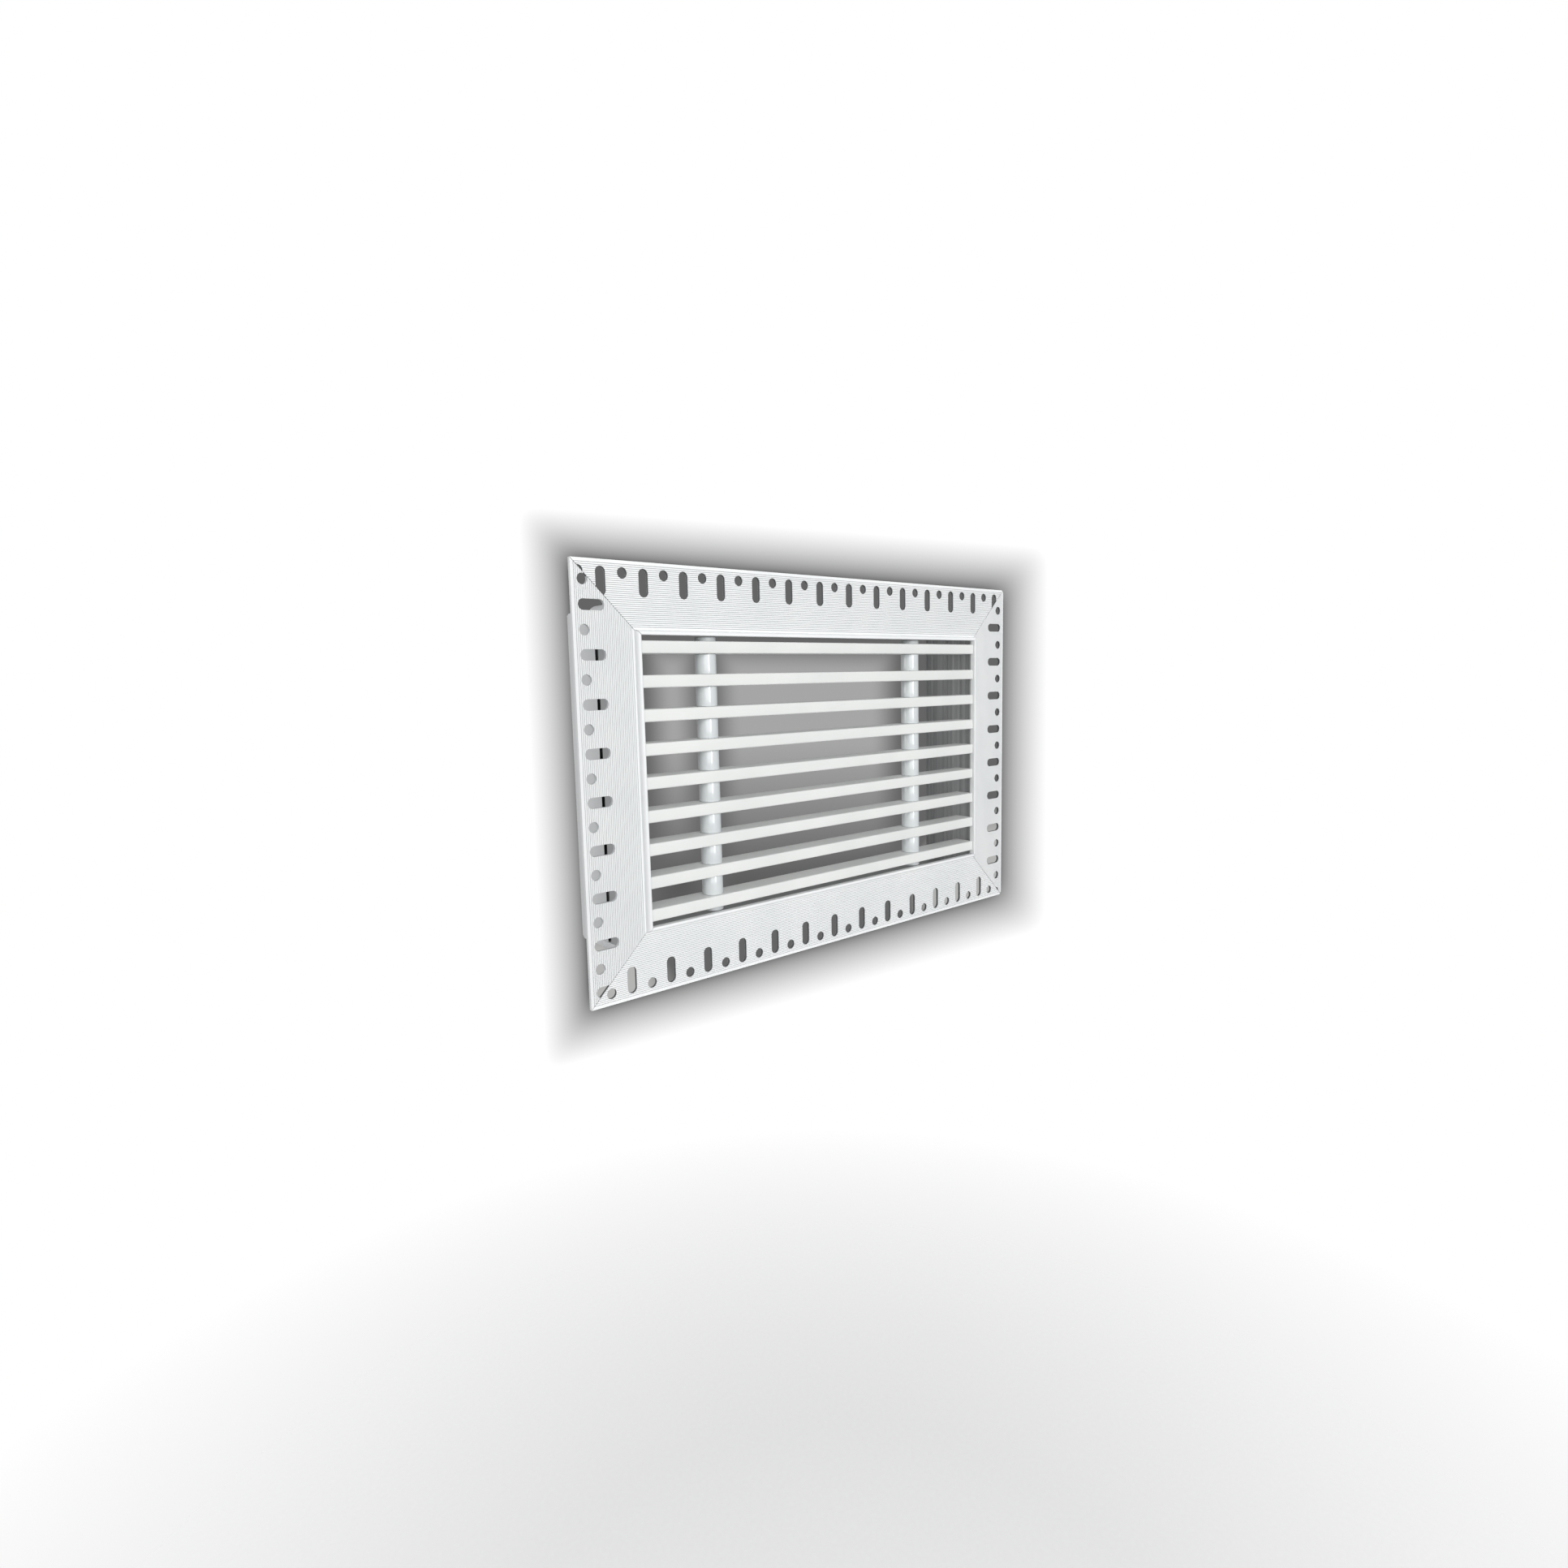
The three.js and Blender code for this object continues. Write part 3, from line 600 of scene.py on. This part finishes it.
def rib_and_punch_tree(material, half):
    sizes = ("Rib Pitch", "Rib Depth", "First Groove", "Hole Pitch", "Slot Length", "Slot Width",
             "Slot Outwards", "Slot First", "Slot Count", "Round Diameter", "Round Outwards",
             "Round First", "Round Count")
    tree, size = new_tree("ribs_and_holes", sizes)
    ribbed = sunk_grooves(
        tree, size["Geometry"], size["Rib Pitch"], size["Rib Depth"], size["First Groove"])
    slots = row_along_z(
        tree, slot_punch(tree, size["Slot Length"], size["Slot Width"]), size["Slot Outwards"],
        size["Slot First"], size["Hole Pitch"], size["Slot Count"])
    rounds = row_along_z(
        tree, round_punch(tree, size["Round Diameter"]), size["Round Outwards"],
        size["Round First"], size["Hole Pitch"], size["Round Count"])
    away = [slots, rounds, key_pocket(tree, half, -1), key_pocket(tree, half, 1)]
    cut = add_node(
        tree, "GeometryNodeMeshBoolean", {"Mesh 1": ribbed, "Mesh 2": away}, operation="DIFFERENCE",
        solver="EXACT")
    marked = add_node(
        tree, "GeometryNodeStoreNamedAttribute",
        {"Geometry": cut, "Name": "profile_mm", "Value": add_node(tree, "GeometryNodeInputPosition")},
        data_type="FLOAT_VECTOR", domain="POINT")
    finish_tree(tree, marked, material)
    return tree


def run_tree(obj, tree, values, name):
    """Runs a tree on an object with its inputs set by identifier, and keeps the result as a plain mesh."""
    modifier = obj.modifiers.new("tree", "NODES")
    modifier.node_group = tree
    for item in tree.interface.items_tree:
        if item.name in values:
            modifier[item.identifier] = values[item.name]
    bpy.context.view_layer.update()
    shaped = obj.evaluated_get(bpy.context.evaluated_depsgraph_get())
    mesh = bpy.data.meshes.new_from_object(shaped)
    mesh.name = name
    obj.modifiers.remove(modifier)
    old = obj.data
    obj.data = mesh
    obj.name = name
    bpy.data.meshes.remove(old)
    return obj


def smooth_but_sharp(mesh, degrees):
    """Shades round places smooth and keeps every edge sharper than the angle."""
    mesh.polygons.foreach_set("use_smooth", [True] * len(mesh.polygons))
    mesh.set_sharp_from_angle(angle=math.radians(degrees))

# %% [markdown]
# ## The four sides
# Each side gives its own list of numbers to the tree: where its rows begin and how many holes they
# have. The rows don't start at the same distance on every side, because the bar was punched first
# and sawn afterwards. Some saw cuts run right through a hole and leave a sliver of it at the corner.
# A matrix then turns the finished side into place and brings it from millimetres to metres.

# %% Sides of the frame
FRAME_WIDTH = 2 * (HALF_X + FLANGE_WIDTH)
FRAME_HEIGHT = 2 * (HALF_Z + FLANGE_WIDTH)
HOLE_PITCH = 20.0
SLOT_OUTWARDS = FLANGE_WIDTH - 8.6
ROUND_OUTWARDS = FLANGE_WIDTH - 5.0

# name, outwards, distance to the lip, half length, way the rows run, first slot and how many, first
# round hole and how many, rounded at the low end, rounded at the high end, coat
SIDES = (
    ("top", (0, 0, 1), HALF_Z, HALF_X, -1, 13.2, 14, 3.2, 14, True, False, coat_top),
    ("bottom", (0, 0, -1), HALF_Z, HALF_X, 1, 19.8, 14, 9.8, 14, False, True, coat_bottom),
    ("left", (-1, 0, 0), HALF_X, HALF_Z, 1, 18.2, 9, 8.2, 9, False, False, coat_left),
    ("right", (1, 0, 0), HALF_X, HALF_Z, -1, 2.1, 10, 12.1, 9, True, True, coat_right),
)


def first_hole(distance, half, way, count):
    """The lowest place along of a row that starts a distance from one end of the side."""
    start = way * (distance - (half + FLANGE_WIDTH))
    return start if way > 0 else start - (count - 1) * HOLE_PITCH


for (name, outwards, offset, half, way, slot_at, slot_count, round_at, round_count,
     low_round, high_round, coat) in SIDES:
    values = {
        "Rib Pitch": RIB_PITCH, "Rib Depth": RIB_DEPTH, "First Groove": FIRST_GROOVE,
        "Hole Pitch": HOLE_PITCH, "Slot Length": 11.8, "Slot Width": 4.6, "Slot Outwards": SLOT_OUTWARDS,
        "Slot First": first_hole(slot_at, half, way, slot_count), "Slot Count": slot_count,
        "Round Diameter": 4.6, "Round Outwards": ROUND_OUTWARDS,
        "Round First": first_hole(round_at, half, way, round_count), "Round Count": round_count,
    }
    side = blank("blank_" + name, half, low_round, high_round)
    side = run_tree(side, rib_and_punch_tree(coat, half), values, "frame_profile_" + name)
    out = Vector(outwards)
    deep = Vector((0, 1, 0))
    turn = Matrix((out, deep, out.cross(deep))).transposed().to_4x4()
    side.data.transform(Matrix.Scale(MM, 4) @ Matrix.Translation(out * offset) @ turn)
    smooth_but_sharp(side.data, 28)
    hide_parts("frame_" + name)
    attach(side, "frame")
    print(side.name, len(side.data.polygons), "faces,", slot_count, "slots and", round_count, "round holes")

# %% [markdown]
# ## The blades
# The nine blades are one rolled bar, cut to length and drilled for the two rods. A rectangle with
# eased corners is swept along a straight line, which is what an extrusion is. The holes are drilled
# before the bar is copied, so the Boolean runs once and not nine times. Instances then set a copy at
# each point of a line down the opening, and Realize Instances makes them real.

# %% Blade tree
BLADE = {
    "Blade Length": 221.6, "Blade Depth": 12.2, "Blade Height": 5.4, "Edge Radius": 0.6,
    "Blade Count": 9, "Blade Pitch": -14.4, "Rod Hole": 4.6, "Left Rod": -74.0, "Right Rod": 63.0,
}
ROD_DEPTH = 3.4
CORE_SPAN = (BLADE["Blade Count"] - 1) * abs(BLADE["Blade Pitch"])


def eased_section_along(tree, width, height, radius, steps, path):
    """A rectangle with eased corners, swept along a path and closed at its ends."""
    corners = add_node(tree, "GeometryNodeCurvePrimitiveQuadrilateral", {"Width": width, "Height": height})
    eased = add_node(
        tree, "GeometryNodeFilletCurve", {"Curve": corners, "Count": steps, "Radius": radius}, mode="POLY")
    upright = add_node(tree, "GeometryNodeSetCurveNormal", {"Curve": path}, mode="Z_UP")
    return add_node(
        tree, "GeometryNodeCurveToMesh", {"Curve": upright, "Profile Curve": eased, "Fill Caps": True})


def blade_tree(material):
    tree, size = new_tree("drilled_blades", BLADE)
    half = add_node(tree, "ShaderNodeMath", {0: size["Blade Length"], 1: 2.0}, operation="DIVIDE")
    minus_half = add_node(tree, "ShaderNodeMath", {0: half, 1: -1.0}, operation="MULTIPLY")
    left_end = add_node(tree, "ShaderNodeCombineXYZ", {"X": minus_half})
    right_end = add_node(tree, "ShaderNodeCombineXYZ", {"X": half})
    line = add_node(tree, "GeometryNodeCurvePrimitiveLine", {"Start": left_end, "End": right_end})
    bar = eased_section_along(tree, size["Blade Depth"], size["Blade Height"], size["Edge Radius"], 5, line)
    drill_radius = add_node(tree, "ShaderNodeMath", {0: size["Rod Hole"], 1: 2.0}, operation="DIVIDE")
    drill = add_node(
        tree, "GeometryNodeMeshCylinder", {"Vertices": 32, "Radius": drill_radius,
        "Depth": 2 * CUTTER_LENGTH})
    drills = []
    for rod in ("Left Rod", "Right Rod"):
        at = add_node(tree, "ShaderNodeCombineXYZ", {"X": size[rod]})
        drills.append(add_node(tree, "GeometryNodeTransform", {"Geometry": drill, "Translation": at}))
    drilled = add_node(
        tree, "GeometryNodeMeshBoolean", {"Mesh 1": bar, "Mesh 2": drills}, operation="DIFFERENCE",
        solver="EXACT")
    blades = row_along_z(tree, drilled, 0.0, CORE_SPAN / 2, size["Blade Pitch"], size["Blade Count"])
    finish_tree(tree, blades, material)
    return tree


blades = run_tree(
    object_of(bpy.data.meshes.new("start"), "start"), blade_tree(blade_coat), BLADE, "blade_set")
blades.data.transform(Matrix.Scale(MM, 4) @ Matrix.Translation((0, ROD_DEPTH, 0)))
smooth_but_sharp(blades.data, 28)
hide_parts(*[f"blade_{i}" for i in range(1, 10)])
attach(blades, "core")
print("blades measure", [round(v / MM, 2) for v in blades.dimensions], "mm")

# %% [markdown]
# ## The spacer tubes
# A short tube on each rod keeps one blade from the next. A tube is a small rectangle with eased
# corners swept round a circle. The wall is 2.5 mm thick, and the eased ends catch a bright line where
# they meet the blade. Two lines of points, one for each rod, carry the sixteen copies.

# %% Spacer tree
SPACER = {
    "Tube Outside": 9.6, "Tube Inside": 4.6, "Tube Length": 8.9, "End Round": 0.25,
    "Tube Count": 8, "Tube Pitch": -14.4, "Left Rod": -74.0, "Right Rod": 63.0,
}


def spacer_tree(material):
    tree, size = new_tree("spacer_tubes", SPACER)
    both_walls = add_node(
        tree, "ShaderNodeMath", {0: size["Tube Outside"], 1: size["Tube Inside"]}, operation="SUBTRACT")
    wall = add_node(tree, "ShaderNodeMath", {0: both_walls, 1: 2.0}, operation="DIVIDE")
    both_ways = add_node(
        tree, "ShaderNodeMath", {0: size["Tube Outside"], 1: size["Tube Inside"]}, operation="ADD")
    middle = add_node(tree, "ShaderNodeMath", {0: both_ways, 1: 4.0}, operation="DIVIDE")
    circle = add_node(tree, "GeometryNodeCurvePrimitiveCircle", {"Resolution": 56, "Radius": middle})
    tube = eased_section_along(tree, wall, size["Tube Length"], size["End Round"], 3, circle)
    rows = [
        row_along_z(tree, tube, size[rod], (CORE_SPAN + SPACER["Tube Pitch"]) / 2, size["Tube Pitch"],
                    size["Tube Count"])
        for rod in ("Left Rod", "Right Rod")
    ]
    both = add_node(tree, "GeometryNodeJoinGeometry", {"Geometry": rows})
    finish_tree(tree, both, material)
    return tree


spacers = run_tree(
    object_of(bpy.data.meshes.new("start"), "start"), spacer_tree(spacer_lacquer), SPACER, "spacer_set")
spacers.data.transform(Matrix.Scale(MM, 4) @ Matrix.Translation((0, ROD_DEPTH, 0)))
smooth_but_sharp(spacers.data, 40)
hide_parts(*[f"spacer_{side}_{i}" for side in ("left", "right") for i in range(1, 9)])
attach(spacers, "core")
print("spacers measure", [round(v / MM, 2) for v in spacers.dimensions], "mm")

# %% [markdown]
# ## End buttons and rods
# A nylon button is pushed over each end of both rods, above the first blade and below the last. A
# button is a turned shape, so its half outline is spun round its own axis. The outline starts and
# ends on the axis, which closes the poles. The rods are hidden in the tubes. Their CAD solids have
# the right shape already and only get the zinc.

# %% Buttons and rods
BUTTON_OUTLINE = (
    [(0.0, 1.2), (2.3, 1.2), (2.3, 0.05), (4.6, 0.05)]
    + [(4.8 - 0.2 + 0.2 * math.sin(a * math.pi / 6),
        0.25 - 0.2 * math.cos(a * math.pi / 6)) for a in (1, 2, 3)]
    + [(4.3 + 0.5 * math.cos(a * math.pi / 12), 1.5 + 0.5 * math.sin(a * math.pi / 12)) for a in range(0, 7)]
    + [(0.0, 2.0)]
)
TURN_STEPS = 48


def spin(bm, outline, centre, way):
    """Turns an outline of (radius, height) about the Z axis through centre. way is 1 up or -1 down."""
    rings = []
    for radius, height in outline:
        if radius == 0.0:
            rings.append([bm.verts.new(centre + Vector((0, 0, way * height)))])
            continue
        angles = [2 * math.pi * i / TURN_STEPS for i in range(TURN_STEPS)]
        rings.append([
            bm.verts.new(centre + Vector((radius * math.cos(a), radius * math.sin(a), way * height)))
            for a in angles
        ])
    for low, high in zip(rings, rings[1:]):
        for i in range(TURN_STEPS):
            j = (i + 1) % TURN_STEPS
            corners = [low[i % len(low)], low[j % len(low)], high[j % len(high)], high[i % len(high)]]
            bm.faces.new(list(dict.fromkeys(corners)))


CORE_TOP = CORE_SPAN / 2 + BLADE["Blade Height"] / 2
bm = bmesh.new()
for rod_x in (BLADE["Left Rod"], BLADE["Right Rod"]):
    for way in (1, -1):
        spin(bm, BUTTON_OUTLINE, Vector((rod_x, ROD_DEPTH, way * CORE_TOP)), way)
buttons = object_of(mesh_of(bm, "end_button_set"), "end_button_set")
buttons.data.transform(Matrix.Scale(MM, 4))
buttons.data.materials.append(button_nylon)
smooth_but_sharp(buttons.data, 35)
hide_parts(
    *[f"end_button_{side}_{end}" for side in ("left", "right") for end in ("top", "bottom")])
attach(buttons, "core")
for name in ("tie_rod_left", "tie_rod_right"):
    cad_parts[name].material_slots[0].material = rod_zinc
print("buttons reach", round(max(v.co.z for v in buttons.data.vertices) / MM, 2), "mm above the middle")

# %% [markdown]
# ## Corner keys
# A key is an L of cast metal whose legs are driven into two neighbouring boxes. What shows is the
# block between them, with a rounded corner. Its outline is drawn once for one corner and mirrored to
# the others by the sign of X and Z. A Bevel modifier eases the cast edges, and its result is kept.

# %% Keys
KEY_LEG = 26.0
KEY_HALF_THICKNESS = 1.3
KEY_ROUND = 5.0
KEY_FRONT, KEY_REAR = 1.5, 18.0
KEY_EASE_MM = 0.45


def key_outline():
    middle = (BOX_INNER + BOX_OUTER) / 2
    inner, outer = middle - KEY_HALF_THICKNESS, middle + KEY_HALF_THICKNESS
    start = BOX_INNER - KEY_LEG
    turn = arc(BOX_OUTER - KEY_ROUND, BOX_OUTER - KEY_ROUND, KEY_ROUND, KEY_ROUND, 0, 90, 14)
    return (
        [(BOX_INNER, BOX_INNER), (inner, BOX_INNER), (inner, start), (outer, start), (outer, BOX_INNER)]
        + [(BOX_OUTER, BOX_INNER)] + turn + [(BOX_INNER, BOX_OUTER), (BOX_INNER, outer)]
        + [(start, outer), (start, inner), (BOX_INNER, inner)]
    )


def corner_key(name, sign_x, sign_z):
    bm = bmesh.new()
    ends = [
        [bm.verts.new((sign_x * (HALF_X + x), y, sign_z * (HALF_Z + z))) for x, z in key_outline()]
        for y in (KEY_FRONT, KEY_REAR)
    ]
    count = len(ends[0])
    for i in range(count):
        j = (i + 1) % count
        bm.faces.new((ends[0][i], ends[0][j], ends[1][j], ends[1][i]))
    bm.faces.new(ends[0])
    bm.faces.new(list(reversed(ends[1])))
    key = object_of(mesh_of(bm, name), name)
    bevel = key.modifiers.new("eased edges", "BEVEL")
    bevel.width = KEY_EASE_MM
    bevel.segments = 3
    bevel.limit_method = "ANGLE"
    bevel.angle_limit = math.radians(40)
    bpy.context.view_layer.update()
    eased = bpy.data.meshes.new_from_object(key.evaluated_get(bpy.context.evaluated_depsgraph_get()))
    key.modifiers.clear()
    key.data = eased
    eased.transform(Matrix.Scale(MM, 4))
    eased.materials.append(key_coat)
    smooth_but_sharp(eased, 40)
    return key


for end_z, sign_z in (("top", 1), ("bottom", -1)):
    for end_x, sign_x in (("right", 1), ("left", -1)):
        key = corner_key(f"corner_casting_{end_z}_{end_x}", sign_x, sign_z)
        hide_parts(f"corner_key_{end_z}_{end_x}")
        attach(key, "frame")
        print(key.name, len(key.data.polygons), "faces")

# %% [markdown]
# ## Floor
# The grille hangs in the air, as it does on a wall, over a plain pale floor. The floor is a disc whose
# rim fades out, so it has no hard edge in the view. It is sheer all over, which keeps it pale although
# little light reaches it.

# %% Floor
FLOOR_DOWN = 0.6
FLOOR_FADE = (0.25, 0.75)
FLOOR_SHEER = 0.4

bm = bmesh.new()
bmesh.ops.create_circle(bm, cap_ends=True, segments=96, radius=FLOOR_FADE[1])
floor = object_of(mesh_of(bm, "floor"), "floor")
floor.data.transform(Matrix.Translation((0, 0, -FLOOR_DOWN)))
floor_paint, tree, place = new_material("floor_paint")
flat_place = add_node(tree, "ShaderNodeMapping", {"Vector": place, "Scale": (1.0, 1.0, 0.0)})
from_middle = add_node(tree, "ShaderNodeVectorMath", {0: flat_place}, operation="LENGTH")
speckle = add_node(tree, "ShaderNodeTexNoise", {"Vector": place, "Scale": 250.0, "Detail": 2.0})
tone = add_node(
    tree, "ShaderNodeMix", {0: speckle, 6: linear("#F6F6F5"), 7: linear("#FCFCFC")}, data_type="RGBA")
paint = add_node(tree, "ShaderNodeBsdfPrincipled", {"Base Color": tone, "Roughness": 0.8})
fade_range = {"Value": from_middle, "From Min": FLOOR_FADE[0], "From Max": FLOOR_FADE[1]}
faded = add_node(tree, "ShaderNodeMapRange", {**fade_range, "To Min": FLOOR_SHEER})
clear = add_node(tree, "ShaderNodeBsdfTransparent")
mixed_paint = add_node(tree, "ShaderNodeMixShader", {0: faded, 1: paint, 2: clear})
add_node(tree, "ShaderNodeOutputMaterial", {"Surface": mixed_paint})
floor.data.materials.append(floor_paint)
print("floor lies", FLOOR_DOWN, "m under the grille's middle")

# %% [markdown]
# ## A card far behind
# White blades vanish against a white sky. So a large white card stands twenty metres behind, with a
# painted shadow in its middle, a soft grey patch which shows through the openings and around the edge.
# The painted shadow is found by drawing lines from the camera through the corners of the frame on to
# the card. The card only shows: it gives no light and no reflection. The painted shadow is palest
# through the middle of the opening and through the holes at the two lower corners.

# %% Card with a painted shadow
CARD_AWAY = 20.0
CARD_HALF = 24.0
SHADOW_FADE = 1.05
SHADOW_CORNER, CELL_CORNER = 0.7, 0.3
OPENING_FADE = 0.8
# tones of the painted shadow: at its edge, low and high in the opening, and pale at the lower corners
SHADOW_EDGE_TONE, SHADOW_LOW_TONE, SHADOW_HIGH_TONE, SHADOW_PALE_TONE = "#656565", "#585858", "#A6A6A6", "#B4B4B2"
# distances on the card from a lower corner of the frame
PALE_ENDS, PALE_BEGINS = 2.1, 1.4


def on_card(point):
    """Where the line from the camera through a point meets the card, in the card's own axes."""
    seen = Vector(point) - CAMERA_AT
    away = seen.dot(CAMERA_LOOKS)
    return seen.dot(camera_right) / away * CARD_AWAY, seen.dot(camera_top) / away * CARD_AWAY


def rectangle_on_card(left, right, half_z):
    """Left and right are each an x and a depth, in millimetres."""
    corners = ((left, half_z), (left, -half_z), (right, -half_z), (right, half_z))
    return [on_card((x * MM, y * MM, z * MM)) for (x, y), z in corners]


def outside_by(tree, place, corners, round_by):
    """How far a point lies outside a patch with four soft corners, and below zero inside it."""
    result = None
    for (x0, y0), (x1, y1) in zip(corners, corners[1:] + corners[:1]):
        length = math.hypot(x1 - x0, y1 - y0)
        normal = ((y1 - y0) / length, (x0 - x1) / length, 0.0)
        level = normal[0] * x0 + normal[1] * y0
        along = add_node(tree, "ShaderNodeVectorMath", {0: place, 1: normal}, operation="DOT_PRODUCT")
        distance = add_node(tree, "ShaderNodeMath", {0: along, 1: level}, operation="SUBTRACT")
        result = distance if result is None else add_node(
            tree, "ShaderNodeMath", {0: result, 1: distance, 2: round_by}, operation="SMOOTH_MAX")
    return result


bm = bmesh.new()
bmesh.ops.create_grid(bm, x_segments=1, y_segments=1, size=CARD_HALF)
card = object_of(mesh_of(bm, "card"), "card")
card.matrix_world = Matrix.Translation(CAMERA_AT + CAMERA_LOOKS * CARD_AWAY) @ camera_turn.to_4x4()
card_painted_shadow, tree, place = new_material("card_painted_shadow")
whole = rectangle_on_card((-FRAME_WIDTH / 2, 0), (FRAME_WIDTH / 2, 0), FRAME_HEIGHT / 2)
outside = outside_by(tree, place, whole, SHADOW_CORNER)
left_rod, right_rod = (BLADE["Left Rod"], ROD_DEPTH), (BLADE["Right Rod"] - 4, ROD_DEPTH)
left_cell = outside_by(tree, place, rectangle_on_card((-HALF_X, 0), left_rod, HALF_Z), CELL_CORNER)
wide_cell = outside_by(tree, place, rectangle_on_card(left_rod, right_rod, HALF_Z), CELL_CORNER)
opening = add_node(tree, "ShaderNodeMath", {0: left_cell, 1: wide_cell}, operation="MINIMUM")

_, height, _ = add_node(tree, "ShaderNodeSeparateXYZ", {"Vector": place}).node.outputs
opening_foot = on_card((0, 0, -HALF_Z * MM))[1]
above_middle = on_card((0, 0, HALF_Z / 6 * MM))[1]
rising = add_node(
    tree, "ShaderNodeMapRange", {"Value": height, "From Min": opening_foot, "From Max": above_middle})
open_tone = add_node(
    tree, "ShaderNodeMix", {0: rising, 6: linear(SHADOW_LOW_TONE), 7: linear(SHADOW_HIGH_TONE)}, data_type="RGBA")
inner = add_node(
    tree, "ShaderNodeMapRange", {"Value": opening, "From Min": 0.0, "From Max": -OPENING_FADE},
    interpolation_type="SMOOTHSTEP")
painted_shadow = add_node(tree, "ShaderNodeMix", {0: inner, 6: linear(SHADOW_EDGE_TONE), 7: open_tone}, data_type="RGBA")
inside_frame = add_node(
    tree, "ShaderNodeMapRange", {"Value": outside, "From Min": 0.0, "From Max": -0.06})
for side in (1, -1):
    corner = on_card((side * FRAME_WIDTH / 2 * MM, 0, -FRAME_HEIGHT / 2 * MM))
    away = add_node(tree, "ShaderNodeVectorMath", {0: place, 1: (*corner, 0.0)}, operation="DISTANCE")
    near = add_node(
        tree, "ShaderNodeMapRange", {"Value": away, "From Min": PALE_ENDS, "From Max": PALE_BEGINS})
    pale = add_node(tree, "ShaderNodeMath", {0: near, 1: inside_frame}, operation="MULTIPLY")
    painted_shadow = add_node(tree, "ShaderNodeMix", {0: pale, 6: painted_shadow, 7: linear(SHADOW_PALE_TONE)}, data_type="RGBA")

fading = add_node(tree, "ShaderNodeMapRange", {"Value": outside, "From Min": 0.0, "From Max": SHADOW_FADE})
eased = add_node(tree, "ShaderNodeMath", {0: fading, 1: 0.75}, operation="POWER")
tone = add_node(tree, "ShaderNodeMix", {0: eased, 6: painted_shadow, 7: (1.0, 1.0, 1.0, 1.0)}, data_type="RGBA")
glow = add_node(tree, "ShaderNodeEmission", {"Color": tone, "Strength": 1.0})
add_node(tree, "ShaderNodeOutputMaterial", {"Surface": glow})
card.data.materials.append(card_painted_shadow)
card.visible_diffuse = False
card.visible_glossy = False
card.visible_transmission = False
card.visible_shadow = False
print("card stands", CARD_AWAY, "m away")

# %% [markdown]
# ## Light
# Plain soft studio light: a pale grey sky all round and one large soft lamp on the left, which makes
# the faces that look into the room the brightest. A tall narrow lamp in front draws a thin line on
# every tube. A third stands on the left behind the flange and lights the outside of the neck, which
# shows through the left-hand holes. Little light comes from above, so the blades' tops stay darker.

# %% Light
def soft_lamp(name, place, width, height, watts):
    data = bpy.data.lights.new(name, "AREA")
    data.shape = "RECTANGLE"
    data.size = width
    data.size_y = height
    data.energy = watts
    lamp = bpy.data.objects.new(name, data)
    lamp.location = place
    lamp.rotation_mode = "QUATERNION"
    lamp.rotation_quaternion = (-Vector(place)).to_track_quat("-Z", "Y")
    lamp.visible_camera = False
    bpy.context.scene.collection.objects.link(lamp)
    return lamp


soft_lamp("key_lamp", (-0.85, -1.55, 0.5), 1.7, 1.7, 22.0)
soft_lamp("strip_lamp", (-0.05, -1.7, 0.3), 0.32, 1.2, 12.0)
soft_lamp("neck_lamp", (-1.3, 0.5, 0.2), 0.7, 0.7, 3.6)

world = bpy.data.worlds.new("studio")
world.use_nodes = True
world.node_tree.nodes.clear()
sky = add_node(world.node_tree, "ShaderNodeBackground", {"Color": linear("#D6D7D8"), "Strength": 0.46})
add_node(world.node_tree, "ShaderNodeOutputWorld", {"Surface": sky})
bpy.context.scene.world = world
bpy.context.scene.view_settings.view_transform = "Standard"
